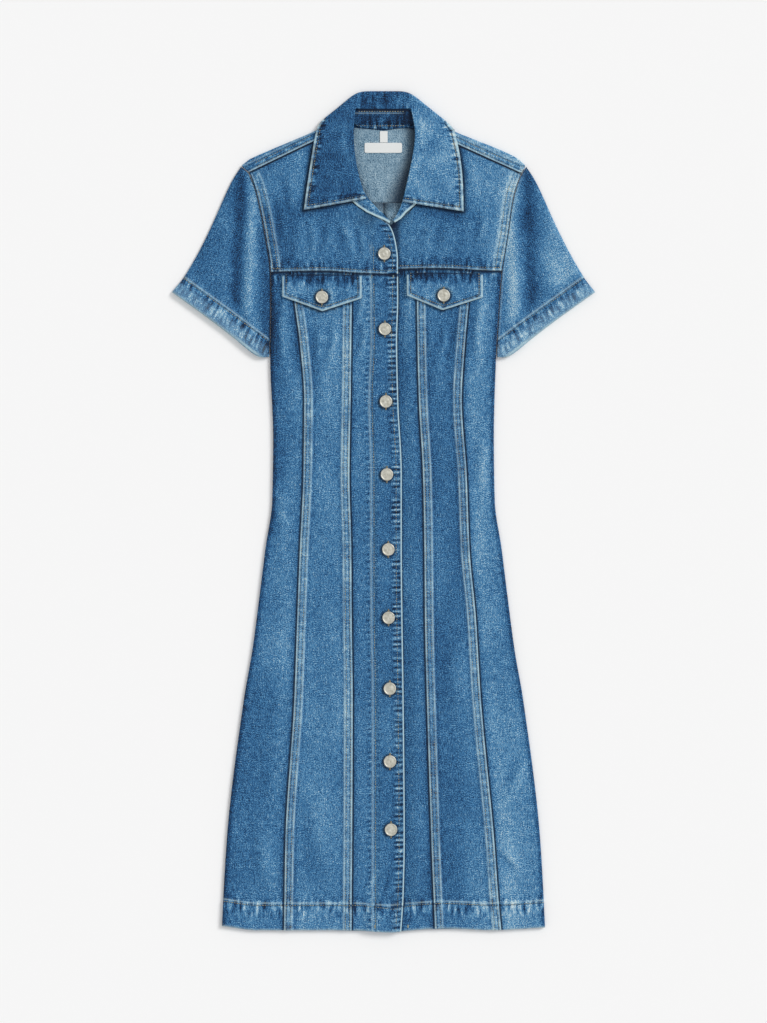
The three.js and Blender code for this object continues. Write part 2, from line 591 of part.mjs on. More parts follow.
const backSeamAt = {
  left: (y) => (seamAt.outerLeft(Math.min(y, 330)) - seamAt.outerRight(Math.min(y, 330))) / 2,
  right: (y) => (seamAt.outerRight(Math.min(y, 330)) - seamAt.outerLeft(Math.min(y, 330))) / 2,
};
for (const side of ['left', 'right']) {
  const sign = side === 'left' ? -1 : 1;
  const middle = () => sign * seamGap / 2;
  const seamInner = (y) => backSeamAt[side](y) - sign * seamGap / 2;
  const seamOuter = (y) => backSeamAt[side](y) + sign * seamGap / 2;
  addPiece(`back_centre_${side}`, backPanel(side, middle, seamInner), washedDenim);
  addPiece(`back_side_${side}`, backPanel(side, seamOuter, (y) => backEdge(side, y)), washedDenim);
}

// Sleeves: flattened tubes from the armhole to a turned hem, open at both ends
const sleeveRows = [
  { fold: 0, underarm: 0 },
  { fold: 0.1, underarm: 0.12 },
  { fold: 0.24, underarm: 0.26 },
  { fold: 0.4, underarm: 0.4 },
  { fold: 0.56, underarm: 0.54 },
  { fold: 0.72, underarm: 0.66 },
  { fold: 0.875, underarm: 0.79 },
  { fold: 0.892, underarm: 0.812, hem: true },
  { fold: 1, underarm: 1, hem: true },
];
const sleeveFrontShares = [0.08, 0.17, 0.27, 0.36, 0.45, 0.54, 0.62, 0.7, 0.78, 0.88];
const sleeveBackShares = [0.8, 0.5, 0.2];
const sleeveHeight = 4.4;
const sleeveHemHeight = 5.6;

for (const side of ['left', 'right']) {
  const sign = side === 'left' ? -1 : 1;
  const curve = (points) => {
    const places = points.map(([x, y]) => new THREE.Vector3(x, y, 0));
    return new THREE.CatmullRomCurve3(places, false, 'centripetal');
  };
  const clear = sign * seamGap;
  const armhole = curve([469, 458.5, 427, 375, 340, underarm].map((y) => [edgeAt[side](y) + clear, y]));
  const foldCurve = curve(sleeveFold.map((row) => [row[side], row.y]));
  const inner = curve([underarm, 290, 250, cuffUnderarm.y].map((y) => [edgeAt[side](y) + sign * 0.5, y]));
  const cuffTip = sleeveFold.at(-1);
  const cuff = curve([
    [cuffTip[side], cuffTip.y],
    [mix(cuffTip[side], cuffInnerEnd[side], 0.5), mix(cuffTip.y, cuffInnerEnd.y, 0.5) - 1],
    [cuffInnerEnd[side] + sign * 3, cuffInnerEnd.y - 1],
    [inner.getPointAt(1).x, inner.getPointAt(1).y],
  ]);
  const start = armhole.getPointAt(0);
  const end = foldCurve.getPointAt(1);
  const pit = armhole.getPointAt(1);
  const pitEnd = inner.getPointAt(1);

  // A point of the flat sleeve: t runs down the arm, w from the outer fold to the underarm
  const flat = (t, w) => {
    const sides = foldCurve.getPointAt(t).lerp(inner.getPointAt(t), w);
    const ends = armhole.getPointAt(w).lerp(cuff.getPointAt(w), t);
    const corners = start.clone().lerp(end, t).lerp(pit.clone().lerp(pitEnd, t), w);
    return sides.add(ends).sub(corners);
  };
  const crease = (point, t) => {
    const ridgeX = mix(sleeveCrease.endX, sleeveCrease.topX, ease(sleeveCrease.endY, 440, point.y));
    const out = Math.abs(point.x) - ridgeX;
    const bump = (offset) => Math.exp(-(((out - offset) / sleeveCrease.spread) ** 2));
    const strength = ease(0, 0.25, t) * ease(1, 0.8, t);
    return strength * (sleeveCrease.ridge * bump(0) + sleeveCrease.trough * bump(sleeveCrease.troughOut));
  };

  const outerRings = [];
  const innerRings = [];
  for (const row of sleeveRows) {
    const layer = row.hem ? doubled : cloth;
    const height = row.hem ? sleeveHemHeight : sleeveHeight;
    const width = foldCurve.getPointAt(row.fold).distanceTo(inner.getPointAt(row.underarm));
    const foldShare = height / 2 / width;
    const outerRing = [];
    const innerRing = [];
    const put = (w, z, innerW, innerZ) => {
      const t = mix(row.fold, row.underarm, w);
      const point = flat(t, w);
      const within = flat(mix(row.fold, row.underarm, innerW), innerW);
      outerRing.push(new THREE.Vector3(point.x, point.y, z(point, t)));
      innerRing.push(new THREE.Vector3(within.x, within.y, innerZ(within, t)));
    };
    const topAt = (point, t) => height + crease(point, t);
    const frontPoint = (w) => put(w, topAt, w, (point, t) => topAt(point, t) - layer);
    const backPoint = (w) => put(w, () => 0, w, () => layer);
    const foldPoint = (w, inward) => put(w, () => height / 2, w + inward * layer / width, () => height / 2);
    foldPoint(0, 1);
    for (const w of [foldShare, ...sleeveFrontShares, 1 - foldShare]) frontPoint(w);
    foldPoint(1, -1);
    for (const w of [1 - foldShare, ...sleeveBackShares, foldShare]) backPoint(w);
    outerRings.push(outerRing);
    innerRings.push(innerRing);
  }
  addPiece(`sleeve_${side}`, wall(outerRings, innerRings, true), washedDenim);
}

// The collar: over the fronts it lies flat, and behind the neck it is folded under the stand
const collarFloor = doubled / 2;
const collarOnFront = 7.5;
const collarFoldRadius = 2.2;

const collarGrid = collarSections.map((row) => {
  const innerPoint = new THREE.Vector3(row.innerX, row.innerY, row.rise);
  const outerPoint = new THREE.Vector3(row.outerX, row.outerY, 0);
  const outward = outerPoint.clone().sub(innerPoint).setZ(0).normalize();
  const turned = row.fold;
  const topZ = mix(collarOnFront, collarFloor + 2 * collarFoldRadius, ease(0, 1, turned));
  const reachBack = (distance, z) => outerPoint.clone().addScaledVector(outward, -distance).setZ(z);
  const foldStart = mix(9, collarFoldRadius, turned);
  const points = [innerPoint];
  const last = reachBack(foldStart, topZ);
  for (const share of [0.25, 0.5, 0.75, 1]) {
    const point = innerPoint.clone().lerp(last, share);
    point.z = mix(innerPoint.z, topZ, ease(0, 1, share));
    points.push(point);
  }
  const shoulder = collarFoldRadius * 0.3;
  points.push(reachBack(mix(6, shoulder, turned), mix(topZ, topZ - shoulder, turned)));
  points.push(reachBack(mix(4, 0, turned), mix(topZ, topZ - collarFoldRadius, turned)));
  const free = new THREE.Vector3(row.freeX ?? row.outerX, row.freeY ?? row.outerY, 0);
  const under = free.clone().sub(outerPoint);
  const underStart = under.length() > 0 ? Math.min(1, collarFoldRadius / under.length()) : 0;
  const below = (share, flatDistance) => {
    const folded = outerPoint.clone().addScaledVector(under, mix(underStart, 1, share)).setZ(collarFloor);
    return reachBack(flatDistance, topZ).lerp(folded, turned < 0.5 ? turned * 0.3 : turned);
  };
  points.push(below(0, 2.6), below(0.4, 1.3), below(1, 0));
  return points;
});
addPiece('collar', wall(...thicken(collarGrid, doubled)), darkDenim);

// The stand joins the collar to the neck edge
const standGrid = standSections.map((row) => {
  const seam = new THREE.Vector3(row.seamX, row.seamY, row.seamZ);
  const top = new THREE.Vector3(row.topX, row.topY, row.topZ);
  const behindNeck = row.seamZ < 2;
  return [0, 0.32, 0.66, 1].map((share) => {
    const point = seam.clone().lerp(top, share);
    if (behindNeck) point.z = mix(row.seamZ, row.topZ, ease(0, 0.36, share));
    return point;
  });
});
addPiece('collar_stand', wall(...thicken(standGrid, standThickness)), darkDenim);

// Pocket flaps lie on the panels under the chest seam, clear of their raised seams
for (const flap of flaps) {
  const side = flap.left < 0 ? 'left' : 'right';
  const lowEdge = (x) => (x < flap.pointX
    ? mix(flap.leftLow, flap.pointY, (x - flap.left) / (flap.pointX - flap.left))
    : mix(flap.pointY, flap.rightLow, (x - flap.pointX) / (flap.right - flap.pointX)));
  const columns = [
    ...spread(flap.left, flap.pointX, [0, 0.33, 0.66, 1]),
    ...spread(flap.pointX, flap.right, [0.34, 0.67, 1]),
  ];
  const bottomAt = (x) => frontUnder(x, 300) + cloth + seamRise + restGap;
  const rows = [0, 0.5, 1].map((share) => columns.map((x) => {
    const y = mix(flap.top + (chestAt[side](x) - chestAt[side](flap.pointX)) * 0.5, lowEdge(x), share);
    return new THREE.Vector3(x, y, bottomAt(x));
  }));
  const raised = rows.map((row) => row.map((point) => point.clone().setZ(point.z + flapThickness)));
  addPiece(flap.name, wall(raised, rows), washedDenim);
}

// Buttons stand on a short shank, with a raised rim and a low crown in the middle
function buttonGeometry() {
  const low = button.stand;
  const profile = [
    [0, 0],
    [button.shank, 0],
    [button.shank, low],
    [button.radius - 0.6, low],
    [button.radius, low + 0.7],
    [button.radius - 0.5, low + button.rim],
    [button.radius - 1.7, low + button.dish],
    [0, low + button.crown],
  ].map(([radius, height]) => new THREE.Vector2(radius, height));
  return new THREE.LatheGeometry(profile, button.sides).rotateX(Math.PI / 2);
}

frontButtons.forEach((place, index) => {
  const mesh = addPiece(`button_${index + 1}`, buttonGeometry(), paleMetal);
  mesh.position.set(place.x, place.y, frontTop('left', place.x, place.y) + seamGap);
});
for (const flap of flaps) {
  const mesh = addPiece(flap.name.replace('pocket_flap', 'flap_button'), buttonGeometry(), paleMetal);
  const top = frontUnder(flap.buttonX, 300) + cloth + seamRise + restGap + flapThickness;
  mesh.position.set(flap.buttonX, flap.buttonY, top + 2 * seamGap);
}

// The blank label and the plain hanger loop lie on the back yoke, inside the neck
for (const [name, piece] of [['neck_label', label], ['hanger_loop', loop]]) {
  const plate = new THREE.BoxGeometry(piece.right - piece.left, piece.high - piece.low, piece.thickness);
  const mesh = addPiece(name, plate, wovenTape);
  mesh.position.set((piece.left + piece.right) / 2, (piece.low + piece.high) / 2,
    cloth + seamGap + piece.thickness / 2);
}

export default dress;
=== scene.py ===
import math
from bisect import bisect_right
from collections import namedtuple

import bmesh
import bpy
from mathutils import Matrix, Vector, noise


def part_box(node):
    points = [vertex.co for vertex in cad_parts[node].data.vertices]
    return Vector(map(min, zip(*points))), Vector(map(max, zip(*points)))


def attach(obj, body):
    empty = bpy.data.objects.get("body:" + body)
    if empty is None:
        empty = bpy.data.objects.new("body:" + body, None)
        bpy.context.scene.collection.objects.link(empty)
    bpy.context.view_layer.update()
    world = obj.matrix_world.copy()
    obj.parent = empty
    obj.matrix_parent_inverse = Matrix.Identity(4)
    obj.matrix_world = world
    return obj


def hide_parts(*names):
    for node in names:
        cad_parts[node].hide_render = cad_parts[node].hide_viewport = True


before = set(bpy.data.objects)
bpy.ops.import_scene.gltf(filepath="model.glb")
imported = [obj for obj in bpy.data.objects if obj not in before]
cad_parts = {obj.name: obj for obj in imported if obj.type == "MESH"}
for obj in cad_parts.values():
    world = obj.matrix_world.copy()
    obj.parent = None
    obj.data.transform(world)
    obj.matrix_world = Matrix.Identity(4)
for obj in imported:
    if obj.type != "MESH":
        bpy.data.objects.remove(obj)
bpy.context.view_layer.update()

# Camera, light and floor. The dress lies on a plain white table under soft studio light from the
# upper right, and is seen from straight above, 1.36 mm to a pixel. Sizes in metres.
PIXEL = 0.00136
VIEW_HEIGHT = 1023 * PIXEL
CAMERA_HEIGHT = 4.0
SENSOR = 36.0
camera = bpy.data.objects.new("camera", bpy.data.cameras.new("camera"))
camera.data.sensor_width = SENSOR
camera.data.lens = SENSOR * CAMERA_HEIGHT / VIEW_HEIGHT
camera.location = (0, 0, CAMERA_HEIGHT)
bpy.context.scene.collection.objects.link(camera)
bpy.context.scene.camera = camera
bpy.context.scene.view_settings.view_transform = "Standard"

sun = bpy.data.objects.new("window_light", bpy.data.lights.new("window_light", "SUN"))
sun.data.energy = 1.75
sun.data.angle = math.radians(22)
sun.rotation_euler = Vector((0.78, 0.5, 0.66)).to_track_quat("Z", "Y").to_euler()
bpy.context.scene.collection.objects.link(sun)

world = bpy.data.worlds.new("studio")
world.use_nodes = True
world.node_tree.nodes["Background"].inputs["Color"].default_value = (1, 1, 1, 1)
world.node_tree.nodes["Background"].inputs["Strength"].default_value = 0.67
bpy.context.scene.world = world


def paint(code):
    """A colour written as sRGB hex, turned to linear."""
    channels = [int(code[i : i + 2], 16) / 255 for i in (1, 3, 5)]
    return [c / 12.92 if c <= 0.04045 else ((c + 0.055) / 1.055) ** 2.4 for c in channels] + [1.0]


def add(tree, kind, sockets=None, **settings):
    """Adds a node with its settings, and fills or links its sockets."""
    made = tree.nodes.new(kind)
    for name, value in settings.items():
        setattr(made, name, value)
    for name, value in (sockets or {}).items():
        if isinstance(value, bpy.types.NodeSocket):
            tree.links.new(value, made.inputs[name])
        else:
            made.inputs[name].default_value = value
    return made


def surface(name, roughness, tones, kind=None, sockets=None, **settings):
    """A material of one colour, or of two tones that a texture spreads over it."""
    made = bpy.data.materials.new(name)
    made.use_nodes = True
    tree = made.node_tree
    skin = tree.nodes["Principled BSDF"]
    skin.inputs["Roughness"].default_value = roughness
    if kind is None:
        skin.inputs["Base Color"].default_value = paint(tones)
        return made
    where = add(tree, "ShaderNodeTexCoord").outputs["Object"]
    pattern = add(tree, kind, {"Vector": where, **sockets}, **settings)
    ramp = add(tree, "ShaderNodeValToRGB", {"Fac": pattern.outputs["Fac"]})
    for stop, (place, code) in zip(ramp.color_ramp.elements, tones):
        stop.position = place
        stop.color = paint(code)
    tree.links.new(ramp.outputs["Color"], skin.inputs["Base Color"])
    return made


def object_from(name, shape, *finishes):
    """Turns a bmesh into an object of the scene, with these materials."""
    mesh = bpy.data.meshes.new(name)
    shape.to_mesh(mesh)
    shape.free()
    for finish in finishes:
        mesh.materials.append(finish)
    made = bpy.data.objects.new(name, mesh)
    bpy.context.scene.collection.objects.link(made)
    return made


# Painted board: smooth matt white
board = surface("matt white board", 0.9, "#F7F7F7")
FLOOR_HALF = 8.0
FLOOR_LEVEL = -0.0004
floor_shape = bmesh.new()
bmesh.ops.create_grid(floor_shape, x_segments=4, y_segments=4, size=FLOOR_HALF)
bmesh.ops.translate(floor_shape, verts=floor_shape.verts, vec=(0, 0, FLOOR_LEVEL))
floor = object_from("floor", floor_shape, board)

# Washed denim, for the whole dress. Cotton twill with indigo warp and white weft, stone washed:
# pale where it was rubbed, less faded beside seams, and painted navy where shade and shadow fall. Sizes in
# millimetres.
MM = 0.001
# What the cloth shows: width and length of the mark along weft and warp, detail, strength.
# Real yarns are 0.5 mm apart, too fine to show, so the finest marks are 1.15 mm wide.
YARN_MARKS = (
    (1.15, 1.4, 3, 1.95),
    (1.3, 11, 2, 0.6),
    (12, 1.6, 1, 0.25),
    (6, 8, 2, 0.22),
    (48, 85, 3, 0.18),
)


def denim(name, shades, level, roughness):
    """Twill cloth coloured by its wear and by painted shade, with pale rubbed edges and painted navy shadow
    lines.
    """
    cloth = bpy.data.materials.new(name)
    cloth.use_nodes = True
    tree = cloth.node_tree
    tree.nodes.clear()

    def attribute(key, output="Fac"):
        return add(tree, "ShaderNodeAttribute", attribute_name=key).outputs[output]

    def maths(operation, *values):
        return add(tree, "ShaderNodeMath", dict(enumerate(values)), operation=operation).outputs[0]

    def marks(width, length, detail, shift=(0, 0, 0)):
        scale = (1 / (width * MM), 1 / (length * MM), 1)
        place = add(tree, "ShaderNodeMapping", {"Vector": grain, "Scale": scale, "Location": shift})
        sockets = {"Vector": place.outputs[0], "Scale": 1, "Detail": detail}
        return add(tree, "ShaderNodeTexNoise", sockets).outputs["Fac"]

    def blend(share, colour, code):
        sockets = {0: share, 6: colour, 7: paint(code)}
        return add(tree, "ShaderNodeMix", sockets, data_type="RGBA").outputs[2]

    grain = attribute("grain", "Vector")
    # This attribute carries the cloth's wash and wear, and painted shade and light on folds and beside
    # edges.
    tone = maths("ADD", attribute("wear"), level - sum(mark[3] for mark in YARN_MARKS) / 2)
    relief = None
    for width, length, detail, strength in YARN_MARKS:
        mark = marks(width, length, detail)
        tone = maths("MULTIPLY_ADD", mark, strength, tone)
        relief = relief or mark
    # Short worn bars where cloth puckers beside stitching, across the warp and along it
    for key, width, length in (("bars_across", 15, 5), ("bars_along", 5, 21)):
        bar = maths("SUBTRACT", marks(width, length, 1, (3, 7, 2)), 0.5)
        tone = maths("MULTIPLY_ADD", maths("MULTIPLY", bar, 2), attribute(key), tone)
    ramp = add(tree, "ShaderNodeValToRGB", {"Fac": tone})
    stops = ramp.color_ramp.elements
    while len(stops) < len(shades):
        stops.new(0.5)
    for stop, (place, code) in zip(stops, shades):
        stop.position = place
        stop.color = paint(code)
    # This attribute paints rubbed pale cloth where positive, and painted shadow in near-black navy where
    # negative: lines beside lapped edges, in stitch grooves, and round the collar, flaps and buttons.
    rub = attribute("rub")
    colour = blend(rub, ramp.outputs["Color"], "#b4cfd6")
    colour = blend(maths("MULTIPLY", rub, -1), colour, "#0b1c33")
    twill = add(tree, "ShaderNodeTexWave", {"Vector": grain, "Scale": 110, "Distortion": 0.6},
                bands_direction="DIAGONAL")
    height = maths("MULTIPLY_ADD", twill.outputs["Fac"], 0.5, relief)
    bump = add(tree, "ShaderNodeBump", {"Height": height, "Strength": 0.55, "Distance": 0.5 * MM})
    skin = add(tree, "ShaderNodeBsdfPrincipled", {
        "Base Color": colour, "Roughness": roughness, "Specular IOR Level": 0.2,
        "Sheen Weight": 0.08, "Sheen Roughness": 0.5, "Normal": bump.outputs["Normal"]})
    add(tree, "ShaderNodeOutputMaterial", {"Surface": skin.outputs[0]})
    return cloth


INDIGO = ((0, "#08182d"), (0.2, "#143c66"), (0.42, "#2c6393"), (0.62, "#4f89b4"),
          (0.8, "#83b0ca"), (1, "#cfdfe2"))
# Face of the cloth, matt with a faint cotton sheen
washed_denim = denim("stone washed indigo denim", INDIGO, 0.47, 0.9)
# The same cloth, less faded, on the collar and its stand
dark_denim = denim("less faded indigo denim", INDIGO, 0.36, 0.88)
# The wrong side, where the white weft shows most
PALE = ((0, "#1d3a52"), (0.25, "#56788f"), (0.5, "#86a3b6"), (0.75, "#a9c0cb"), (1, "#d3dfe2"))
denim_reverse = denim("pale reverse of the denim", PALE, 0.47, 0.92)

CLOTH = 1.2
DOUBLED = 2.4
THICKEST = 3.0
REST_GAP = 0.4
HEM = -571.4
HEM_DEPTH = 34
CHEST = 325
LAP_WIDTH = 37
FACING = 34
SEAM_GAP = 0.3
# How far the front stands off the back inside: at the side folds, in the middle, under the buttons
EDGE_FILL = 1.6
MIDDLE_FILL = 2.8
PRESSED_FILL = 0.6
SEAM_RISE = 0.8
FLAP_THICKNESS = 2
PLACKET_X = 6
# Each side of the dress, and which way it lies from the middle
SIDES = (("left", -1), ("right", 1))


def mix(start, end, share):
    return start + (end - start) * share


def ease(start, end, value):
    """Goes softly from 0 at start to 1 at end, in either direction."""
    share = min(1, max(0, (value - start) / (end - start)))
    return share * share * (3 - 2 * share)


def bell(value, centre, spread):
    return math.exp(-(((value - centre) / spread) ** 2))


def wander(x, y, size, layer):
    """An even, repeatable unevenness from about -1 to 1, with marks of this size."""
    return 1.6 * noise.noise((x / size + 9.7 * layer, y / size - 4.3 * layer, 1.9 * layer))


def follow(rows, column):
    """A curve through one column of a table, whose first column is the place, without overshoot."""
    at = [row[0] for row in rows]
    value = [row[column] for row in rows]
    slope = [(value[i + 1] - value[i]) / (at[i + 1] - at[i]) for i in range(len(at) - 1)]
    tangent = [slope[0]]
    for before, after in zip(slope, slope[1:]):
        tangent.append(0 if before * after <= 0 else 2 / (1 / before + 1 / after))
    tangent.append(slope[-1])

    def curve(place):
        if place <= at[0]:
            return value[0]
        if place >= at[-1]:
            return value[-1]
        i = bisect_right(at, place) - 1
        span = at[i + 1] - at[i]
        t = (place - at[i]) / span
        return ((1 + 2 * t) * (1 - t) ** 2 * value[i] + t * (1 - t) ** 2 * span * tangent[i]
                + t * t * (3 - 2 * t) * value[i + 1] + t * t * (t - 1) * span * tangent[i + 1])

    return curve


# The body's outer edge: y, left, right
BODY_EDGE = (
    (-571.4, -219.6, 219.6), (-447, -213.1, 213.1), (-256, -189.9, 189.9), (-188, -178.2, 178.2),
    (-120, -169.2, 169.2), (-51, -160.6, 160.6), (16, -151.2, 151.2), (100, -150, 150),
    (209, -154, 153), (290, -152.6, 157.8), (325, -153.2, 161), (375, -160.3, 168.8),
    (427, -170.7, 176.4), (458.5, -181.2, 187), (469, -192.6, 193),
)
# Shaping seams: y, left outer, left inner, right inner, right outer, edge of the upper front,
# inner stitching of the placket
SEAMS = (
    (-571.4, -135.5, -43.1, 69.6, 160.2, 24, -11),
    (-524, -134.9, -42.9, 67.5, 156, 27.2, -11.2),
    (-447, -133.7, -42.3, 64.6, 150.6, 28.8, -10.9),
    (-256, -121.6, -41.6, 58.5, 132.6, 27.3, -10.8),
    (-145, -117.6, -42.9, 55.9, 125.8, 25.7, -12.6),
    (-51, -114, -43.5, 55.1, 117.1, 24.8, -13),
    (50, -109.3, -46, 53.2, 113.2, 24.8, -13),
    (152, -108.1, -44.4, 47.6, 106.6, 20, -15.6),
    (233, -114.5, -43.4, 45.6, 111.4, 18.5, -12.6),
    (288, -122, -42.8, 44.9, 116.6, 20, -13),
    (330, -127, -42.5, 44.6, 120.5, 19.7, -13.5),
)
# Lower edge of the hem: x, y
HEM_LINE = ((-219.6, -563), (-170, -568.8), (-43, -568.8), (11, -571.4), (26, -570), (82, -566.2),
            (146, -568.6), (219.6, -565))
# Seam across the chest: x, y on the left front, y on the right front
CHEST_SEAM = ((-153, 325.4, 328), (-83, 326.8, 328), (-27, 323.6, 328.4), (21, 322.4, 329.4),
              (74, 322.4, 330.4), (138, 322.4, 327.4), (161, 322.4, 327))
edge_at = {"left": follow(BODY_EDGE, 1), "right": follow(BODY_EDGE, 2)}
outer_left, inner_left, inner_right, outer_right, placket, placket_stitch = (
    follow(SEAMS, column) for column in range(1, 7))
hem_at = follow(HEM_LINE, 1)
chest_at = {"left": follow(CHEST_SEAM, 1), "right": follow(CHEST_SEAM, 2)}


def hem_share(y):
    return ease(HEM + HEM_DEPTH + 2, HEM + HEM_DEPTH - 2, y)


def layer_at(y):
    return CLOTH * (1 + hem_share(y))


def front_under(x, y):
    """The underside of the front where nothing presses or lifts it."""
    half = (edge_at["right"](y) - edge_at["left"](y)) / 2
    fill = EDGE_FILL + (MIDDLE_FILL - EDGE_FILL) * (1 - min(1, abs(x) / half) ** 2.5)
    return layer_at(y) + REST_GAP + fill * (1 - 0.75 * hem_share(y))


def front_spot(side, x, y):
    """Height of the front's outer face, and the thickness of its wall."""
    edge = placket(y)
    pressed = layer_at(y) + REST_GAP + PRESSED_FILL
    faced = min(DOUBLED + CLOTH * hem_share(y), THICKEST)
    if side == "right":
        under = mix(front_under(x, y), pressed, ease(edge + 18, edge + 3, x))
        wall = mix(layer_at(y), faced, ease(edge - LAP_WIDTH + FACING + 2, edge - LAP_WIDTH + FACING, x))
    else:
        lapped = ease(edge - LAP_WIDTH - 19, edge - LAP_WIDTH - 2, x) * ease(408, 392, y)
        under = mix(front_under(x, y), pressed + faced + REST_GAP, lapped)
        wall = mix(layer_at(y), faced, ease(edge - FACING - 2, edge - FACING, x))
    return under + wall, wall


def level_at(side, x, level):
    """Moves a row's level to follow the hem below and the chest seam above."""
    hem_shift = (hem_at(x) - HEM) * ease(HEM + 120, HEM + HEM_DEPTH, level)
    return level + hem_shift + (chest_at[side](x) - CHEST) * ease(CHEST - 75, CHEST, level)


# Creases in the front: both ends, height, half width, and how strongly the crest shows worn pale and the
# flank beside it painted in shade
CREASES = (
    (158, -455, 186, -489, 0.7, 5, 0.1),
    (196, -330, 172, -392, 0.6, 8, 0.07),
    (-150, 40, -128, -30, 0.5, 9, 0.08),
    (136, 120, 141, 10, 0.6, 8, 0.08),
    (-52, 392, -40, 345, 0.7, 5, 0.1),
    (-32, 388, -26, 342, 0.6, 4, 0.08),
    (-70, 396, -78, 350, 0.4, 6, 0.05),
    (96, 405, 90, 350, 0.4, 7, 0.05),
    (62, 392, 57, 345, 0.4, 6, 0.05),
    (-142, 440, -128, 372, 0.5, 6, 0.09),
    (120, 470, 128, 420, 0.4, 7, 0.05),
    (-8, -470, -22, -524, 0.5, 4, 0.08),
    (14, -490, 4, -530, 0.5, 4, 0.09),
    (-88, -380, -80, -500, 0.5, 12, 0.05),
    (108, -150, 100, -300, 0.5, 12, 0.05),
    (-80, 250, -76, 120, 0.4, 10, 0.06),
    (82, 250, 76, 140, 0.4, 10, 0.06),
    (-170, -420, -150, -520, 0.6, 9, 0.05),
    (20, -60, 34, -120, 0.4, 5, 0.07),
    (-24, 262, -30, 200, 0.5, 5, 0.09),
    (-128, 462, -118, 392, 0.7, 7, 0.1),
    (-97, 396, -93, 342, 0.6, 5, 0.09),
    (-56, 398, -50, 350, 0.5, 5, 0.08),
    (118, 478, 111, 385, 0.6, 8, 0.08),
    (86, 400, 80, 348, 0.5, 6, 0.07),
    (138, 420, 134, 350, 0.5, 6, 0.07),
    (-112, 262, -103, 172, 0.6, 6, 0.09),
    (-66, 262, -70, 185, 0.5, 5, 0.08),
    (-90, 258, -88, 205, 0.5, 4, 0.07),
    (64, 262, 62, 172, 0.6, 5, 0.09),
    (104, 262, 96, 185, 0.6, 6, 0.09),
    (84, 258, 82, 214, 0.4, 4, 0.07),
    (-134, 312, -137, 180, 0.7, 6, 0.1),
    (133, 308, 130, 190, 0.6, 6, 0.09),
    (-28, 305, -34, 250, 0.5, 4, 0.09),
)


def crease_at(x, y):
    height, wear = 0, 0
    for x1, y1, x2, y2, rise, spread, rub in CREASES:
        length = math.hypot(x2 - x1, y2 - y1)
        along = ((x - x1) * (x2 - x1) + (y - y1) * (y2 - y1)) / length
        if not -spread < along < length + spread:
            continue
        off = ((x - x1) * (y2 - y1) - (y - y1) * (x2 - x1)) / length + 2 * math.sin(along / 14)
        if abs(off) > 4 * spread:
            continue
        ends = ease(-spread, length * 0.4, along) * ease(length + spread, length * 0.6, along)
        height += ends * rise * (bell(off, 0, spread) - 0.7 * bell(off, 1.9 * spread, spread))
        # The crest is painted pale as wear, and the flank to one side darker as the crease's shade.
        wear += ends * rub * (bell(off, 0, spread * 0.8) - 1.2 * bell(off, 1.6 * spread, spread * 0.8))
    return height, wear


def front_lie(x, y):
    """How the cloth of the front wanders from its even form, how that shows in its wear, and painted shade
    on its creases and its left side.
    """
    off_placket = abs(x - PLACKET_X)
    calm = ease(12, 40, off_placket) * (1 - 0.7 * hem_share(y))
    rise, rub = crease_at(x, y)
    slow = wander(x, y * 0.45, 40, 1)
    height = calm * (0.45 * slow + 0.25 * wander(x, y * 0.6, 17, 2)) + 1.3 * rise * ease(8, 24, off_placket)
    wash = 0.035 * slow + 0.035 * wander(x, y * 0.35, 22, 3) + 1.15 * rub
    wash += 0.09 * ease(105, 150, x) * ease(-180, -420, y) - 0.05 * ease(50, 66, x) * ease(118, 104, x)
    # Painted shade: the left side of the front is darker, most of all near the top, as it turns from the
    # light.
    left_side_shade = 0.12 * ease(20, 150, y) + 0.08 * ease(-150, -260, y) + 0.05 * bell(y, 0, 110)
    wash -= ease(-112, -124, x) * left_side_shade
    wash += 0.06 * ease(108, 120, x) * bell(y, 20, 120)
    return height, wash


# A point of a cloth shell: place, wall, wear with painted shade, rub with painted shadow, and worn bars
# across and along the warp.
Spot = namedtuple("Spot", "x y z wall wear rub bars_across bars_along")


def cloth_from_grid(name, columns, rows, place, finish, reverse):
    """A thin shell: a grid laid out by place(column, row), with a wall under it."""
    cloth = bmesh.new()
    bmesh.ops.create_grid(cloth, x_segments=columns, y_segments=rows, size=1)
    shown = {key: cloth.verts.layers.float.new(key) for key in ("wear", "rub", "bars_across", "bars_along")}
    grain = cloth.verts.layers.float_vector.new("grain")
    walls = cloth.verts.layers.deform.new()
    for vert in cloth.verts:
        spot = place(round((vert.co.x + 1) / 2 * columns), round((vert.co.y + 1) / 2 * rows))
        vert.co = Vector((spot.x, spot.y, spot.z)) * MM
        vert[grain] = vert.co
        vert[walls][0] = spot.wall / THICKEST
        for key, layer in shown.items():
            vert[layer] = getattr(spot, key)
    area = sum(face.calc_area() for face in cloth.faces)
    piece = object_from(name, cloth, finish, reverse)
    piece.data.shade_smooth()
    piece.vertex_groups.new(name="wall")
    shell = piece.modifiers.new("wall", "SOLIDIFY")
    shell.thickness = THICKEST * MM
    shell.offset = -1
    shell.vertex_group = "wall"
    shell.material_offset = 1
    return piece, area


def steps(start, end, size):
    count = max(1, round(abs(end - start) / size))
    return [mix(start, end, k / count) for k in range(count)]


BESIDE_SEAM = (0, 0.7, 1.4, 2.2, 3.2, 4.5, 6, 7.5, 9, 10.3, 11.5, 12.6, 14.5)


def column_at(start, end, column, columns):
    """Columns of points: close together along both seams, even between."""
    last = len(BESIDE_SEAM) - 1
    if column <= last:
        return start + BESIDE_SEAM[column]
    if columns - column <= last:
        return end - BESIDE_SEAM[columns - column]
    share = (column - last) / (columns - 2 * last)
    return mix(start + BESIDE_SEAM[-1], end - BESIDE_SEAM[-1], share)


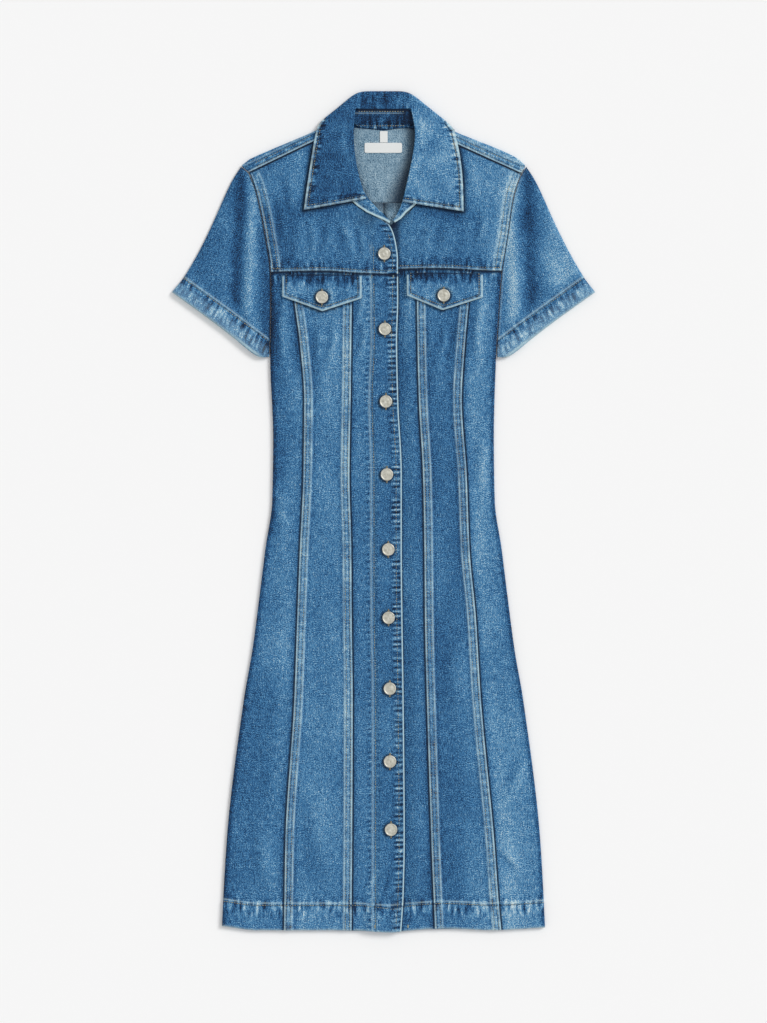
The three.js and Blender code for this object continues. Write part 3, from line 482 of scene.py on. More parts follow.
def hem_wear_and_shadow(x, level):
    """Rise, wear, rub and bars of the turned, stitched hem, with a painted shadow line in the groove along
    its top.
    """
    up = level - HEM
    if up > 60:
        return 0, 0, 0, 0
    rise = 0.35 * bell(up, 37, 1.4) - 0.4 * bell(up, 34, 1) - 0.3 * bell(up, 0, 1.2)
    rise += 0.3 * wander(x, up * 0.3, 5, 6) * ease(16, 28, up) * ease(46, 38, up)
    wear = 0.02 * ease(38, 34, up) - 0.05 * bell(up, 42, 4) + 0.05 * bell(up, 37, 2)
    rub = 0.5 * bell(up, 36.8, 1.1) + 0.8 * bell(up, 0.3, 1.2)
    rub *= 0.85 + 0.5 * wander(x, 0, 13, 30)
    # Painted shadow line in the groove along the top of the turn-up.
    rub -= 0.75 * bell(up, 34, 0.9)
    return rise, wear, rub, 0.8 * ease(10, 28, up) * ease(48, 36, up)


def chest_shadow(level):
    """Painted shadow under the yoke's lapped edge, a navy line and a darker band below it, and worn bars
    where the cloth puckers there.
    """
    down = CHEST - level
    if down > 30:
        return 0, 0, 0
    return -0.06 * ease(26, 8, down), -0.95 * ease(4.4, 2.2, down), 0.6 * ease(26, 6, down)


def end_wear_and_shadow(x, level):
    """Rise, wear, rub and bars of a panel's two ends, at the hem and at the chest seam, with the painted
    shadow lines there.
    """
    rise, hem_shade, hem_rub_and_shadow, hem_bars = hem_wear_and_shadow(x, level)
    chest_shade, chest_shadow_line, chest_bars = chest_shadow(level)
    return rise, hem_shade + chest_shade, hem_rub_and_shadow + chest_shadow_line, hem_bars + chest_bars


LONG_LEVELS = steps(HEM, HEM + 42, 1.7) + steps(HEM + 42, CHEST - 15, 3.2) + steps(CHEST - 15, CHEST, 1.7)
LONG_LEVELS.append(CHEST)
MADE = {}


def sew_in(piece, nodes, flat, area):
    """Rides the dress and stands for its CAD nodes."""
    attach(piece, "root")
    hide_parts(*nodes)
    area = min(area, flat[0] * flat[1])
    MADE[piece.name] = piece


def long_panel(name, side, start_at, end_at, columns, detail, shift):
    """A front panel below the chest, from hem to chest seam."""

    def place(column, row):
        level = LONG_LEVELS[row]
        start, end = start_at(level), end_at(level)
        x = column_at(start, end, column, columns)
        y = level_at(side, x, level) - (SEAM_GAP / 2 if level == CHEST else 0)
        top, wall = front_spot(side, x, level)
        lie, wash = front_lie(x, y)
        rise, wear, rub, across, along = detail(x, level, x - start, end - x)
        end_rise, end_shade, end_rub_and_shadow, end_bars = end_wear_and_shadow(x, level)
        return Spot(x, y, top + lie + rise + end_rise, wall, wash + wear + end_shade + shift,
                    rub + end_rub_and_shadow, across, along + end_bars)

    piece, area = cloth_from_grid(name, columns, len(LONG_LEVELS) - 1, place, washed_denim, denim_reverse)
    width = max(end_at(level) - start_at(level) for level in LONG_LEVELS) * MM
    flat = (width * 1.02, (CHEST - HEM) * MM * 1.02)
    sew_in(piece, [name.replace("denim_", "")], flat, area)


def beside_band(gap):
    """Wear of a panel left less faded beside the raised seam that laps over its edge, and the painted
    shadow line that seam casts on it.
    """
    return -0.09 * ease(9, 2.5, gap), -0.9 * ease(2.7, 1.3, gap)


# How far the two rows of stitching of a felled seam lie from the panel's edge
BAND_STITCHES = (2.9, 8.6)


def felled_band(gap, x, y):
    """The raised, twice stitched seam along a middle panel's edge: rise, wear, rub and bars, with painted
    shade in its two stitch grooves.
    """
    if gap > 18:
        return 0, 0, 0, 0
    uneven = 0.9 + 0.4 * wander(x, y, 24, 5)
    worn = 0.07 * ease(1, 2, gap) * ease(12.5, 11, gap) * uneven - 0.1 * bell(gap, 14.5, 1.5)
    rub = 0.75 * bell(gap, 1.1, 1) + 0.2 * bell(gap, 5.8, 1.3) + 0.62 * bell(gap, 10.7, 1)
    rub = rub * uneven - 0.62 * (bell(gap, 3.2, 0.7) + bell(gap, 8.4, 0.7))
    rise = SEAM_RISE * ease(-0.4, 1, gap) * ease(12.8, 11.2, gap)
    rise -= 0.25 * sum(bell(gap, inset, 0.7) for inset in BAND_STITCHES)
    rise += 0.12 * wander(x * 2, y, 5, 7) * ease(13, 11, gap)
    return rise, worn, rub, 0.35 * ease(13, 11, gap)


def distance_to(outline, x, y):
    """How far a point is from a line of straight runs."""
    nearest = 1e9
    for (x1, y1), (x2, y2) in zip(outline, outline[1:]):
        length = (x2 - x1) ** 2 + (y2 - y1) ** 2
        share = min(1, max(0, ((x - x1) * (x2 - x1) + (y - y1) * (y2 - y1)) / length))
        nearest = min(nearest, math.hypot(x - mix(x1, x2, share), y - mix(y1, y2, share)))
    return nearest


# Middle front panels. Each laps over its neighbours in raised felled seams with two rows of
# stitching, rubbed pale along their edges. Round the pocket flap the cloth carries a painted navy shadow
# line.
FLAP_LINES = {
    "left": ((-137.6, 322), (-137.6, 291.7), (-83, 271.7), (-29.5, 289.3), (-29.5, 322)),
    "right": ((31.6, 324), (31.6, 293.1), (80.2, 273), (135, 290.5), (135, 324)),
}
for side, start_seam, end_seam, shift in (("left", outer_left, inner_left, 0.03),
                                          ("right", inner_right, outer_right, -0.03)):

    def band_detail(x, level, from_start, from_end):
        rise_a, wear_a, rub_and_shadow_a, bars_a = felled_band(from_start, x, level)
        rise_b, wear_b, rub_and_shadow_b, bars_b = felled_band(from_end, x, level)
        # Painted shadow line of the pocket flap, round its edge.
        flap_shadow = -0.85 * ease(4, 1.6, distance_to(FLAP_LINES[side], x, level)) if level > 262 else 0
        return rise_a + rise_b, wear_a + wear_b, rub_and_shadow_a + rub_and_shadow_b + flap_shadow, bars_a + bars_b, 0

    long_panel(f"denim_front_middle_{side}", side, lambda y: start_seam(y) + SEAM_GAP / 2,
               lambda y: end_seam(y) - SEAM_GAP / 2, 52, band_detail, shift)


front_buttons = [(low + high) / 2 / MM for low, high in (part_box(f"button_{k}") for k in range(1, 10))]


def placket_edge(gap, x, y):
    """The folded front edge, by distance from it: rise, wear, rub and bars, with painted shade beside the
    fold and in the stitch groove, and the buttons' painted shadows.
    """
    rung = math.sin(y / 1.15 + 1.8 * wander(gap * 0.2, y, 16, 8))
    ladder = ease(16, 10.5, gap) * ease(1.2, 3, gap)
    worn = 0.34 * rung * ladder * (0.8 + 0.6 * wander(x, y, 30, 32)) - 0.06 * bell(gap, 15, 3)
    rub = 1.0 * bell(gap, 0.6, 1.1) - 0.35 * bell(gap, 3.2, 1.2) - 0.22 * bell(gap, 7.6, 0.7)
    rub += ladder * (0.14 * max(0, rung) - 0.6 * max(0, -rung)) * (0.9 + 0.5 * wander(x, y, 40, 34))
    # Painted shadow of each button: a navy ring set a little to its lower left.
    for spot in front_buttons:
        if abs(y - spot.y) < 20:
            rub -= 0.85 * bell(math.hypot(x - spot.x + 0.8, y - spot.y + 0.8), 9, 1.9)
    rise = -0.35 * bell(gap, 0, 0.9) + 0.2 * ladder * rung
    return rise, worn, rub, 0.5 * ladder


def placket_detail(x, level, from_start, from_end):
    wear_a, rub_and_shadow_a = beside_band(from_start)
    rise_b, wear_b, rub_and_shadow_b, across = placket_edge(from_end, x, level)
    fold = x - placket_stitch(level)
    rung = math.sin(level / 1.3 + 2 * wander(0, level, 18, 31))
    rise_c = 0.35 * bell(fold, -3.6, 1.5) - 0.25 * bell(fold, 0, 0.8)
    wear_c = (0.2 * rung - 0.05) * bell(fold, -8, 3) + 0.1 * rung * bell(fold, 4, 3)
    wear_c -= 0.05 * ease(0, 4, fold)
    wear_c += 0.06 * ease(100, 260, level) * ease(-1, -8, fold)
    # A pale worn ridge beside the facing's fold, and painted shade in the groove of the inner stitch row.
    rub_and_shadow_c = 0.34 * bell(fold, -3.8, 1.2) - 0.62 * bell(fold, 0.2, 0.8)
    return rise_b + rise_c, wear_a + wear_b + wear_c, rub_and_shadow_a + rub_and_shadow_b + rub_and_shadow_c, across, 0


def right_centre_detail(x, level, from_start, from_end):
    wear, rub = beside_band(from_end)
    beside = x - placket(level)
    # Painted shadow of the left front's edge, which laps over this panel: a navy line and slightly darker
    # cloth beside it.
    rub -= (0.5 + 0.35 * ease(150, 300, level)) * ease(3.4, 0.6, beside)
    wear += 0.11 * ease(140, 280, level) * ease(6, 12, beside) - 0.05 * ease(12, 3, beside)
    return 0, wear, rub, 0, 0.2 * ease(220, 300, level)


# Centre fronts. The left one is faced and folded at its button edge, worn in a ladder, and laps
# over the right one.
long_panel("denim_front_centre_left", "left", lambda y: inner_left(y) + SEAM_GAP / 2,
           placket, 52, placket_detail, -0.01)
long_panel("denim_front_centre_right", "right", lambda y: placket(y) - LAP_WIDTH,
           lambda y: inner_right(y) - SEAM_GAP / 2, 50, right_centre_detail, -0.05)

# Side fronts. Each rolls round the side fold, down to the surface, and meets the back there.
FOLD_TURNS = 14
FOLD_TAIL = 0.6
SIDE_COLUMNS = 40
for side, sign in SIDES:
    seam_at = outer_left if side == "left" else outer_right

    def side_place(column, row):
        level = LONG_LEVELS[row]
        edge = edge_at[side](level)
        radius = front_spot(side, edge - sign * 2.4, level)[0] / 2
        fold_x = edge - sign * radius
        seam = seam_at(level) + sign * SEAM_GAP / 2
        step = SIDE_COLUMNS + FOLD_TURNS - column if side == "left" else column
        x = mix(seam, fold_x, ((step / SIDE_COLUMNS) ** 1.25)) if step <= SIDE_COLUMNS else fold_x
        gap = abs(x - seam)
        lie, wash = front_lie(x, level)
        near_fold = ease(16, 2, abs(fold_x - x))
        beside_wear, rub = beside_band(gap)
        end_rise, end_shade, end_rub_and_shadow, end_bars = end_wear_and_shadow(x, level)
        top = mix(front_spot(side, x, level)[0], 2 * radius, near_fold)
        top += (lie + end_rise) * (1 - near_fold)
        y = level_at(side, x, level) - (SEAM_GAP / 2 if level == CHEST else 0)
        wear = wash + beside_wear + end_shade + 0.02 + 0.06 * bell(gap, 16, 9)
        # Painted shade along the side fold, where the cloth turns down away from the light.
        wear -= 0.22 * ease(5, 0, abs(edge - x) - 2.2) + 0.04 * near_fold
        if step > SIDE_COLUMNS:
            turn = math.pi * min(1, (step - SIDE_COLUMNS) / (FOLD_TURNS - 1))
            x = fold_x + sign * math.sin(turn) * radius
            top = radius + math.cos(turn) * radius
            x -= sign * FOLD_TAIL * (step == SIDE_COLUMNS + FOLD_TURNS)
        return Spot(x, y, top, layer_at(level), wear, rub + end_rub_and_shadow, 0.1, end_bars)

    piece, area = cloth_from_grid(f"denim_front_side_{side}", SIDE_COLUMNS + FOLD_TURNS,
                                  len(LONG_LEVELS) - 1, side_place, washed_denim, denim_reverse)
    width = max(abs(edge_at[side](y) - seam_at(y)) for y in LONG_LEVELS) + 6
    flat = (width * MM, (CHEST - HEM) * 1.04 * MM)
    sew_in(piece, [f"front_side_{side}"], flat, area)

# Front yokes, from the chest seam up to the shoulder seam and the collar stand. Their lower edge
# laps over the panels and is stitched through; the left one carries on the worn button edge.
# y, inner edge of the left front, inner edge of the right front
INNER_EDGE = (
    (320, 19.7, -17.3), (345, 19.6, -16.5), (360, 17.8, -13.5), (374, 14.7, -6), (389, 8, 9.5),
    (396, -4, 21), (404, -19, 32), (414, -36, 42), (426, -49, 54), (442, -59, 63), (470, -69, 71),
    (505, -73, 74), (513, -73.2, 74),
)
# Distance from the middle, forward edge of the back yoke on the left and on the right
FORWARD_SEAM = ((70, 514.9, 513.2), (96, 502.5, 500.9), (181, 461.8, 462.6), (187, 458.9, 459.9))
# Outline of the collar that shows: x, y
COLLAR_LEFT = ((-23.5, 424.5), (-108.2, 409.3), (-105.9, 428), (-101.5, 458), (-96.4, 490),
               (-91.4, 519.5), (-84.6, 531.1))
COLLAR_RIGHT = ((25.5, 420.5), (108.8, 407.3), (108.4, 428), (107.4, 458), (103, 490), (96.6, 517.5),
                (88.5, 528))
inner_edge_at = {"left": follow(INNER_EDGE, 1), "right": follow(INNER_EDGE, 2)}
forward_at = {"left": follow(FORWARD_SEAM, 1), "right": follow(FORWARD_SEAM, 2)}


YOKE_LEVELS = steps(CHEST, CHEST + 22, 1.6) + steps(CHEST + 22, 455, 2.6) + steps(455, 510, 1.8) + [510]
YOKE_COLUMNS = 66
for side, sign in SIDES:
    collar_line = COLLAR_LEFT if side == "left" else COLLAR_RIGHT

    def shoulder_x(level):
        low, high = FORWARD_SEAM[0][0], FORWARD_SEAM[-1][0]
        for _ in range(24):
            middle = (low + high) / 2
            if forward_at[side](middle) - SEAM_GAP / 2 < level:
                high = middle
            else:
                low = middle
        return sign * low

    outer_at = {}
    for level in YOKE_LEVELS:
        armhole = edge_at[side](level) - sign * SEAM_GAP / 2
        outer_at[level] = min(shoulder_x(level), armhole, key=abs)

    def yoke_place(column, row):
        level = YOKE_LEVELS[row]
        ends = sorted((outer_at[level], inner_edge_at[side](level)))
        x = column_at(*ends, column, YOKE_COLUMNS)
        y = level + (chest_at[side](x) - CHEST) * ease(CHEST + 50, CHEST, level)
        up = level - CHEST
        y += SEAM_GAP / 2 if up == 0 else 0
        top, wall = front_spot(side, x, y)
        lie, wash = front_lie(x, y)
        inward = abs(x - inner_edge_at[side](level))
        arm = abs(edge_at[side](level)) - abs(x)
        seam = (forward_at[side](abs(x)) - y) * 0.9 if abs(x) > 70 else 50
        rise = 0.35 * bell(up, 1.2, 1) - 0.3 * bell(up, 4.2, 1) - 0.35 * bell(up, 0, 0.6)
        rise += 0.2 * wander(x, up * 0.3, 4, 9) * ease(14, 3, up)
        wear = wash - 0.1 * ease(24, 9, up) * ease(2, 6, up)
        rub = 0.55 * bell(up, 1, 1.1) * (0.8 + 0.5 * wander(x, 0, 20, 10)) - 0.6 * bell(up, 4.4, 0.9)
        wear += 0.07 * bell(arm, 13, 3) + 0.05 * ease(14, 11, arm)
        # Along the armhole: pale worn lines, painted shade in the stitch grooves, and a painted shadow line
        # at the edge.
        rub += 0.45 * bell(arm, 2, 1.1) + 0.3 * bell(arm, 12.6, 1.3) - 0.8 * bell(arm, -0.2, 1)
        rub -= 0.5 * (bell(arm, 4.2, 0.8) + bell(arm, 9.8, 0.8))
        wear += 0.14 * ease(30, 8, arm) * ease(470, 440, y) * (side == "right")
        # Painted shadow line under the back yoke's lapped edge at the shoulder seam.
        rub -= 1.0 * ease(3.2, 1.5, seam)
        wear -= 0.04 * ease(12, 3, seam) - 0.11 * ease(400, 440, y) * ease(98, 112, abs(x))
        across, along = 0.35 * ease(15, 11, arm), 0.8 * ease(24, 3, up)
        # Painted shadow of the collar on the yoke: a navy line along its edge and a darker band beyond it.
        from_collar_edge = distance_to(collar_line, x, y)
        rub -= 0.9 * ease(6, 0.8, from_collar_edge)
        wear -= 0.1 * ease(22, 4, from_collar_edge)
        if side == "left":
            edge_rise, edge_wear, edge_rub_and_shadow, edge_bars = placket_edge(inward, x, y)
            shown = ease(398, 384, level)
            fold = x - placket_stitch(level)
            rise += edge_rise * shown
            wear += edge_wear * shown
            # Painted shadow under the stand's turned-out left end.
            rub += edge_rub_and_shadow * shown - 0.45 * bell(math.hypot(x + 22, y - 400), 0, 14)
            rub += (0.22 * bell(fold, -3.8, 1.1) - 0.3 * bell(fold, 0.2, 0.7)) * ease(372, 355, level)
            across += edge_bars * shown * 0.6
        else:
            beside = x - placket(level)
            # Painted shadow of the left front's edge, and of the stand's turned-out right end.
            rub -= 0.8 * ease(4.2, 0.5, beside) * ease(400, 385, level)
            rub -= 0.5 * bell(distance_to(((9, 389), (24, 397), (32, 407)), x, y), 0, 5)
            wear += 0.1 * ease(160, 178, x) * ease(430, 450, y)
        return Spot(x, y, top + lie * ease(0, 8, up) + rise, wall, wear - 0.02, rub, across, along)

    piece, area = cloth_from_grid(f"denim_front_yoke_{side}", YOKE_COLUMNS, len(YOKE_LEVELS) - 1,
                                  yoke_place, washed_denim, denim_reverse)
    sew_in(piece, [f"front_yoke_{side}"], (0.19, 0.2), area)

# Pocket flaps: two layers of denim turned out, edge stitched, hanging from the chest seam. Their
# pointed lower edge is rubbed pale; they are darker towards the top, with a painted shadow line under the
# yoke's edge and a painted shadow ring round the button.
# Level of the upper edge, then x and y of the button
FLAPS = {"left": (322.2, -83.6, 290.8), "right": (324.4, 81.7, 293.2)}
FLAP_COLUMNS = 64
FLAP_ROWS = 28
for side, (top_y, button_x, button_y) in FLAPS.items():
    low_line = FLAP_LINES[side][1:4]
    (left, low_left), (point_x, point_y), (right, low_right) = low_line

    def flap_low(x):
        if x < point_x:
            return mix(low_left, point_y, (x - left) / (point_x - left))
        return mix(point_y, low_right, (x - point_x) / (right - point_x))

    def flap_place(column, row):
        share = column / FLAP_COLUMNS
        x = mix(left, right, share - math.sin(2 * math.pi * share) / 14)
        drop = row / FLAP_ROWS
        drop = 1 - (drop - math.sin(2 * math.pi * drop) / 14)
        y = mix(top_y + (chest_at[side](x) - chest_at[side](point_x)) * 0.5, flap_low(x), drop)
        edge = min(x - left, right - x, distance_to(low_line, x, y))
        down = top_y - y
        ring = math.hypot(x - button_x, y - button_y)
        under = front_under(x, 300) + CLOTH + SEAM_RISE + REST_GAP
        rise = 0.3 * bell(edge, 2.6, 1.6) - 0.5 * bell(edge, 0, 1) - 0.25 * bell(edge, 5.4, 0.9)
        rise += 0.35 * wander(x, y * 0.4, 9, 11) * ease(4, 10, edge) + 0.2 * wander(x, y, 4, 12)
        wear = 0.1 * wander(x, y * 0.5, 11, 13) + 0.06 * bell(down, 24, 8)
        wear -= 0.26 * ease(17, 5, down + 5 * wander(x, 0, 9, 14)) * ease(2, 6, edge)
        # Painted shade: the stitch groove, a shadow line along the top under the yoke's edge, and the
        # button's shadow ring.
        rub = 0.85 * bell(edge, 1.2, 1.3) - 0.75 * bell(edge, 5, 0.9) - 0.6 * ease(3.2, 0.8, down)
        rub = mix(-0.75, rub, ease(1, 4, down)) - 0.95 * bell(ring, 9.4, 2.2)
        return Spot(x, y, under + FLAP_THICKNESS + rise, FLAP_THICKNESS, wear, rub,
                    0.4 * ease(14, 6, min(x - left, right - x)),
                    0.6 * ease(11, 4, distance_to(low_line, x, y)) + 0.6 * ease(22, 8, down))

    piece, area = cloth_from_grid(f"denim_pocket_flap_{side}", FLAP_COLUMNS, FLAP_ROWS, flap_place,
                                  washed_denim, washed_denim)
    sew_in(piece, [f"pocket_flap_{side}"], (0.112, 0.056), area)


def fine_copy(node, rounds, rounding):
    """A finer copy of a CAD solid, kept sharp at its edges, with its curves rounded or kept."""
    shape = bmesh.new()
    shape.from_mesh(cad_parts[node].data)
    bmesh.ops.remove_doubles(shape, verts=shape.verts, dist=0.00002)
    bmesh.ops.join_triangles(shape, faces=shape.faces, angle_face_threshold=0.7, angle_shape_threshold=2.5)
    sharp = shape.edges.layers.float.new("crease_edge")
    for edge in shape.edges:
        if edge.calc_face_angle(0) > math.radians(52):
            edge[sharp] = 1
    coarse = bpy.data.meshes.new(node + "_coarse")
    shape.to_mesh(coarse)
    holder = bpy.data.objects.new(node + "_coarse", coarse)
    bpy.context.scene.collection.objects.link(holder)
    finer = holder.modifiers.new("finer", "SUBSURF")
    finer.subdivision_type = "CATMULL_CLARK" if rounding else "SIMPLE"
    finer.levels = rounds
    finer.render_levels = rounds
    bpy.context.view_layer.update()
    shape.clear()
    shape.from_mesh(holder.evaluated_get(bpy.context.evaluated_depsgraph_get()).to_mesh())
    holder.evaluated_get(bpy.context.evaluated_depsgraph_get()).to_mesh_clear()
    bpy.data.objects.remove(holder)
    bpy.data.meshes.remove(coarse)
    return shape


def cloth_from_solid(name, node, rounds, detail, finishes, grain_turn=0, rounding=True):
    """A finer form of a CAD solid of cloth. detail() gives its lift, its wear and painted shade, its rub
    and painted shadow, and its bars.
    """
    cloth = fine_copy(node, rounds, rounding)
    cloth.normal_update()
    keys = ("wear", "rub", "bars_across", "bars_along")
    shown = [cloth.verts.layers.float.get(key) or cloth.verts.layers.float.new(key) for key in keys]
    grain = cloth.verts.layers.float_vector.new("grain")
    turn = Matrix.Rotation(math.radians(grain_turn), 3, "Z")
    lifts = {}
    for vert in cloth.verts:
        x, y, z = vert.co / MM
        vert[grain] = turn @ vert.co
        lift, *marks = detail(x, y, z, vert.normal)
        for layer, value in zip(shown, marks):
            vert[layer] = value
        lifts[vert.index] = lift
    for face in cloth.faces:
        face.smooth = True
        if len(finishes) > 1:
            centre = face.calc_center_median() / MM
            face.material_index = finishes[1](centre.x, centre.y, centre.z, face.normal)
    for vert in cloth.verts:
        vert.co.z += lifts[vert.index] * MM
    area = sum(face.calc_area() for face in cloth.faces) / 2
    return object_from(name, cloth, *finishes[0]), area


# Back yoke: one layer, flat behind the neck with its pale side up, drawn forward over both
# shoulders to a double stitched seam.
def yoke_detail(x, y, z, normal):
    side = "left" if x < 0 else "right"
    if z < 2.6 and abs(x) < 75:
        # Inside the neck opening: painted shadow beside both collar leaves, strongest on the right, and
        # painted shade under the stand.
        collar_x = mix(19, 46, ease(412, 500, y))
        rub = -0.85 * ease(26, 1, collar_x - x) - 0.3 * ease(9, 0, x + collar_x + 3)
        rub -= 0.5 * ease(516, 525, y)
        return 0, 0.05 * wander(x, y, 30, 15) - 0.06, rub, 0.1, 0.1
    seam = (y - forward_at[side](abs(x))) * 0.9
    lift = 0.35 * bell(seam, 1, 1) - 0.2 * (bell(seam, 2.6, 0.8) + bell(seam, 8.6, 0.8))
    wear = 0.05 * wander(x, y, 25, 16) + 0.09 * ease(80, 150, abs(x)) * (side == "right") - 0.02
    wear += 0.1 * (side == "right") * (y > 430)
    rub = 0.6 * bell(seam, 1, 1.1) + 0.25 * bell(seam, 11, 1.3)
    rub -= 0.6 * (bell(seam, 3.1, 0.8) + bell(seam, 8.4, 0.8))
    return lift * (normal.z > 0.5), wear, rub, 0.25, 0.35 * ease(12, 5, seam)


def reverse_up(x, y, z, normal):
    return 1 if normal.z > 0.3 and z < 2.7 and y < 525 else 0


piece, area = cloth_from_solid("denim_back_yoke", "back_yoke", 3, yoke_detail,
                               ((washed_denim, denim_reverse), reverse_up), rounding=False)
sew_in(piece, ["back_yoke"], (0.4, 0.15), area)


# The back below its yoke: two centre and two side panels, flat on the surface, pale side inward.
def back_detail(x, y, z, normal):
    # Painted shade on the back where it shows in the neck opening, between the collar and the fronts'
    # edges.
    rub = -0.55 * ease(404, 419, y) * (z > 0.9) - 0.3 * bell(x, 0, 1.4) * (y > 330)
    rub += 0.2 * (bell(x, -4, 1.2) + bell(x, 5, 1.2)) * (y > 330)
    return 0, 0.05 * wander(x, y, 35, 17) - 0.08, rub, 0.1, 0.1


def inside_up(x, y, z, normal):
    return 1 if normal.z > 0.5 else 0


for side in ("left", "right"):
    for place in ("centre", "side"):
        low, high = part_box(f"back_{place}_{side}")
        flat = (high.x - low.x, high.y - low.y)
        piece, area = cloth_from_solid(f"denim_back_{place}_{side}", f"back_{place}_{side}", 3, back_detail,
                                       ((washed_denim, denim_reverse), inside_up))
        sew_in(piece, [f"back_{place}_{side}"], flat, area)

# Sleeves: one cut each, seamed under the arm and lying flattened, with a turned hem. A soft
# ridge and trough run down them from the shoulder, the ridge painted lighter and the trough darker as their
# light and shade.
# Edge of each cuff, from its outer end to the body: x, y
CUFF_LINE = {"left": ((-287.4, 298.1), (-222, 251), (-160, 204)),
             "right": ((287.6, 298.1), (222, 251), (159, 204))}
CUFF_STITCH = 24.5
for side, sign in SIDES:
    cuff_line = CUFF_LINE[side]
    hem_turn = (cuff_line[2][0] - cuff_line[0][0], cuff_line[2][1] - cuff_line[0][1])

    def sleeve_detail(x, y, z, normal):
        up = distance_to(cuff_line, x, y)
        arm = abs(x) - abs(edge_at[side](y)) if y > 215 else 60
        front = ease(1.6, 3, z) * max(0, normal.z)
        ridge = mix(184, 177, ease(240, 440, y))
        out = abs(x) - ridge
        along_cuff = (x * hem_turn[0] + y * hem_turn[1]) / math.hypot(*hem_turn)
        lift = front * (0.35 * bell(up, CUFF_STITCH + 1.6, 1.3) - 0.3 * bell(up, CUFF_STITCH - 1, 1))
        lift += front * 0.25 * wander(along_cuff, up * 0.3, 4, 18) * ease(32, 24, up)
        lift += front * 0.4 * wander(x * 1.6, y * 0.5, 24, 19) * ease(20, 40, up)
        wear = 0.04 * wander(x, y, 45, 20) + 0.04 * wander(x * 1.4, y * 0.5, 20, 21)
        wear += 0.09 * ease(24, 14, up) - 0.08 * bell(up, CUFF_STITCH - 6, 3)
        rub = 0.7 * bell(up, 0.5, 1.4) + 0.5 * bell(up, CUFF_STITCH + 1.9, 1.2)
        rub += 0.12 * ease(22, 12, up) - 0.6 * bell(up, CUFF_STITCH - 0.4, 0.9)
        body = ease(24, 44, up)
        # Painted light and shade of the ridge and trough, and painted shade and a shadow line beside the
        # body's edge.
        if side == "left":
            wear += body * (0.23 * bell(out, 0, 8) - 0.22 * bell(out, 17, 8) - 0.1 * ease(34, 66, out))
            wear -= 0.16 * bell(arm, 7, 6) * ease(440, 340, y) + 0.04
            rub -= 1.0 * ease(3, 1.2, arm)
        else:
            wear += body * (0.26 * bell(out, -6, 9) - 0.24 * bell(out, 20, 10) + 0.2 * ease(34, 60, out))
            rub -= 0.55 * ease(1.8, 0.4, arm)
            rub += 0.2 * bell(arm, 2.6, 1.1)
        wear -= 0.1 * ease(330, 300, y) * ease(8, 2, arm)
        lift += front * body * 0.5 * (bell(out, 0, 9) - bell(out, 17, 9)) * ease(450, 400, y)
        return lift, wear, rub, 0.2 * ease(30, 22, up), 0.8 * ease(34, 20, up) * ease(2, 9, up)

    piece, area = cloth_from_solid(f"denim_sleeve_{side}", f"sleeve_{side}", 3, sleeve_detail,
                                   ((washed_denim,),), grain_turn=-sign * 24)
    sew_in(piece, [f"sleeve_{side}"], (0.36, 0.28), area)


# Collar: two layers turned out, stitched 5 mm inside a roped, rubbed edge. It lies on the
# fronts and folds under behind the neck. Less faded than the body.
def collar_detail(x, y, z, normal):
    outline = COLLAR_LEFT if x < 0 else COLLAR_RIGHT
    edge = distance_to(outline, x, y) if y < 534 else 40
    up = max(0, normal.z)
    lift = up * (0.3 * bell(edge, 2.6, 1.4) - 0.3 * bell(edge, 5.2, 0.9))
    lift += up * (0.16 * wander(x, y, 4.5, 22) + 0.3 * wander(x, y * 0.6, 16, 23) * ease(4, 14, edge))
    wear = 0.08 * wander(x, y, 20, 24) + 0.27 * ease(0, 60, x) - 0.06 - 0.06 * bell(edge, 9, 4)
    rub = 0.75 * bell(edge, 1.4, 1.6) * (0.85 + 0.5 * wander(x, y, 4, 33)) - 0.85 * bell(edge, 5, 1)
    roll = abs(x) - mix(22, 48, ease(420, 500, y))
    wear += 0.1 * bell(roll, 5, 4) * (y < 530)
    # Painted shade where the collar folds under behind the neck, deeper on the right.
    behind = ease(538, 550, y) * ease(42, 32, abs(x))
    wear -= 0.1 * behind * ease(0, 34, x) + 0.06 * behind
    vertical = ease(16, 4, edge) * (y > 428)
    return lift, wear, rub, 1.2 * vertical, 0.8 * ease(14, 3, edge) * (y <= 428) + 0.45 * behind


piece, area = cloth_from_solid("denim_collar", "collar", 3, collar_detail, ((dark_denim,),))
sew_in(piece, ["collar"], (0.44, 0.12), area)

# Collar stand: a narrow band between collar and neck edge. Its two ends turn out over the
# fronts, bright inside, with a roped white edge.
LEFT_END = ((-58, 442), (-48.4, 427), (-35.5, 415), (-22.8, 406.4), (-11.7, 401.2), (-0.7, 396.4),
            (8.2, 391.6))
RIGHT_END = ((62, 442), (53.4, 426.6), (41.4, 415), (30.8, 406), (23.7, 397.6), (15.4, 392.4))


def stand_detail(x, y, z, normal):
    edge = distance_to(LEFT_END if x < 0 or z > 8 else RIGHT_END, x, y)
    if y < 445:
        rub = 0.9 * ease(3.4, 1.8, edge) - 0.4 * bell(edge, 5, 1)
        return 0, 0.16 + 0.1 * wander(x, y, 9, 25), rub, 0.4, 0.3
    # Behind the neck: painted shade along the stand's top fold and towards the right, under the collar.
    rub = 0.45 * bell(y, 541, 1.2) - 0.9 * ease(542.4, 544, y) - 0.45 * ease(20, 40, x) - 0.15
    wear = 0.1 * ease(527, 522, y) - 0.2 + 0.08 * wander(x, y, 12, 26)
    return 0, wear, rub, 0.15, 0.8 * ease(533, 524, y) + 0.45


piece, area = cloth_from_solid("denim_collar_stand", "collar_stand", 3, stand_detail, ((dark_denim,),),
                               rounding=False)
sew_in(piece, ["collar_stand"], (0.44, 0.05), area)


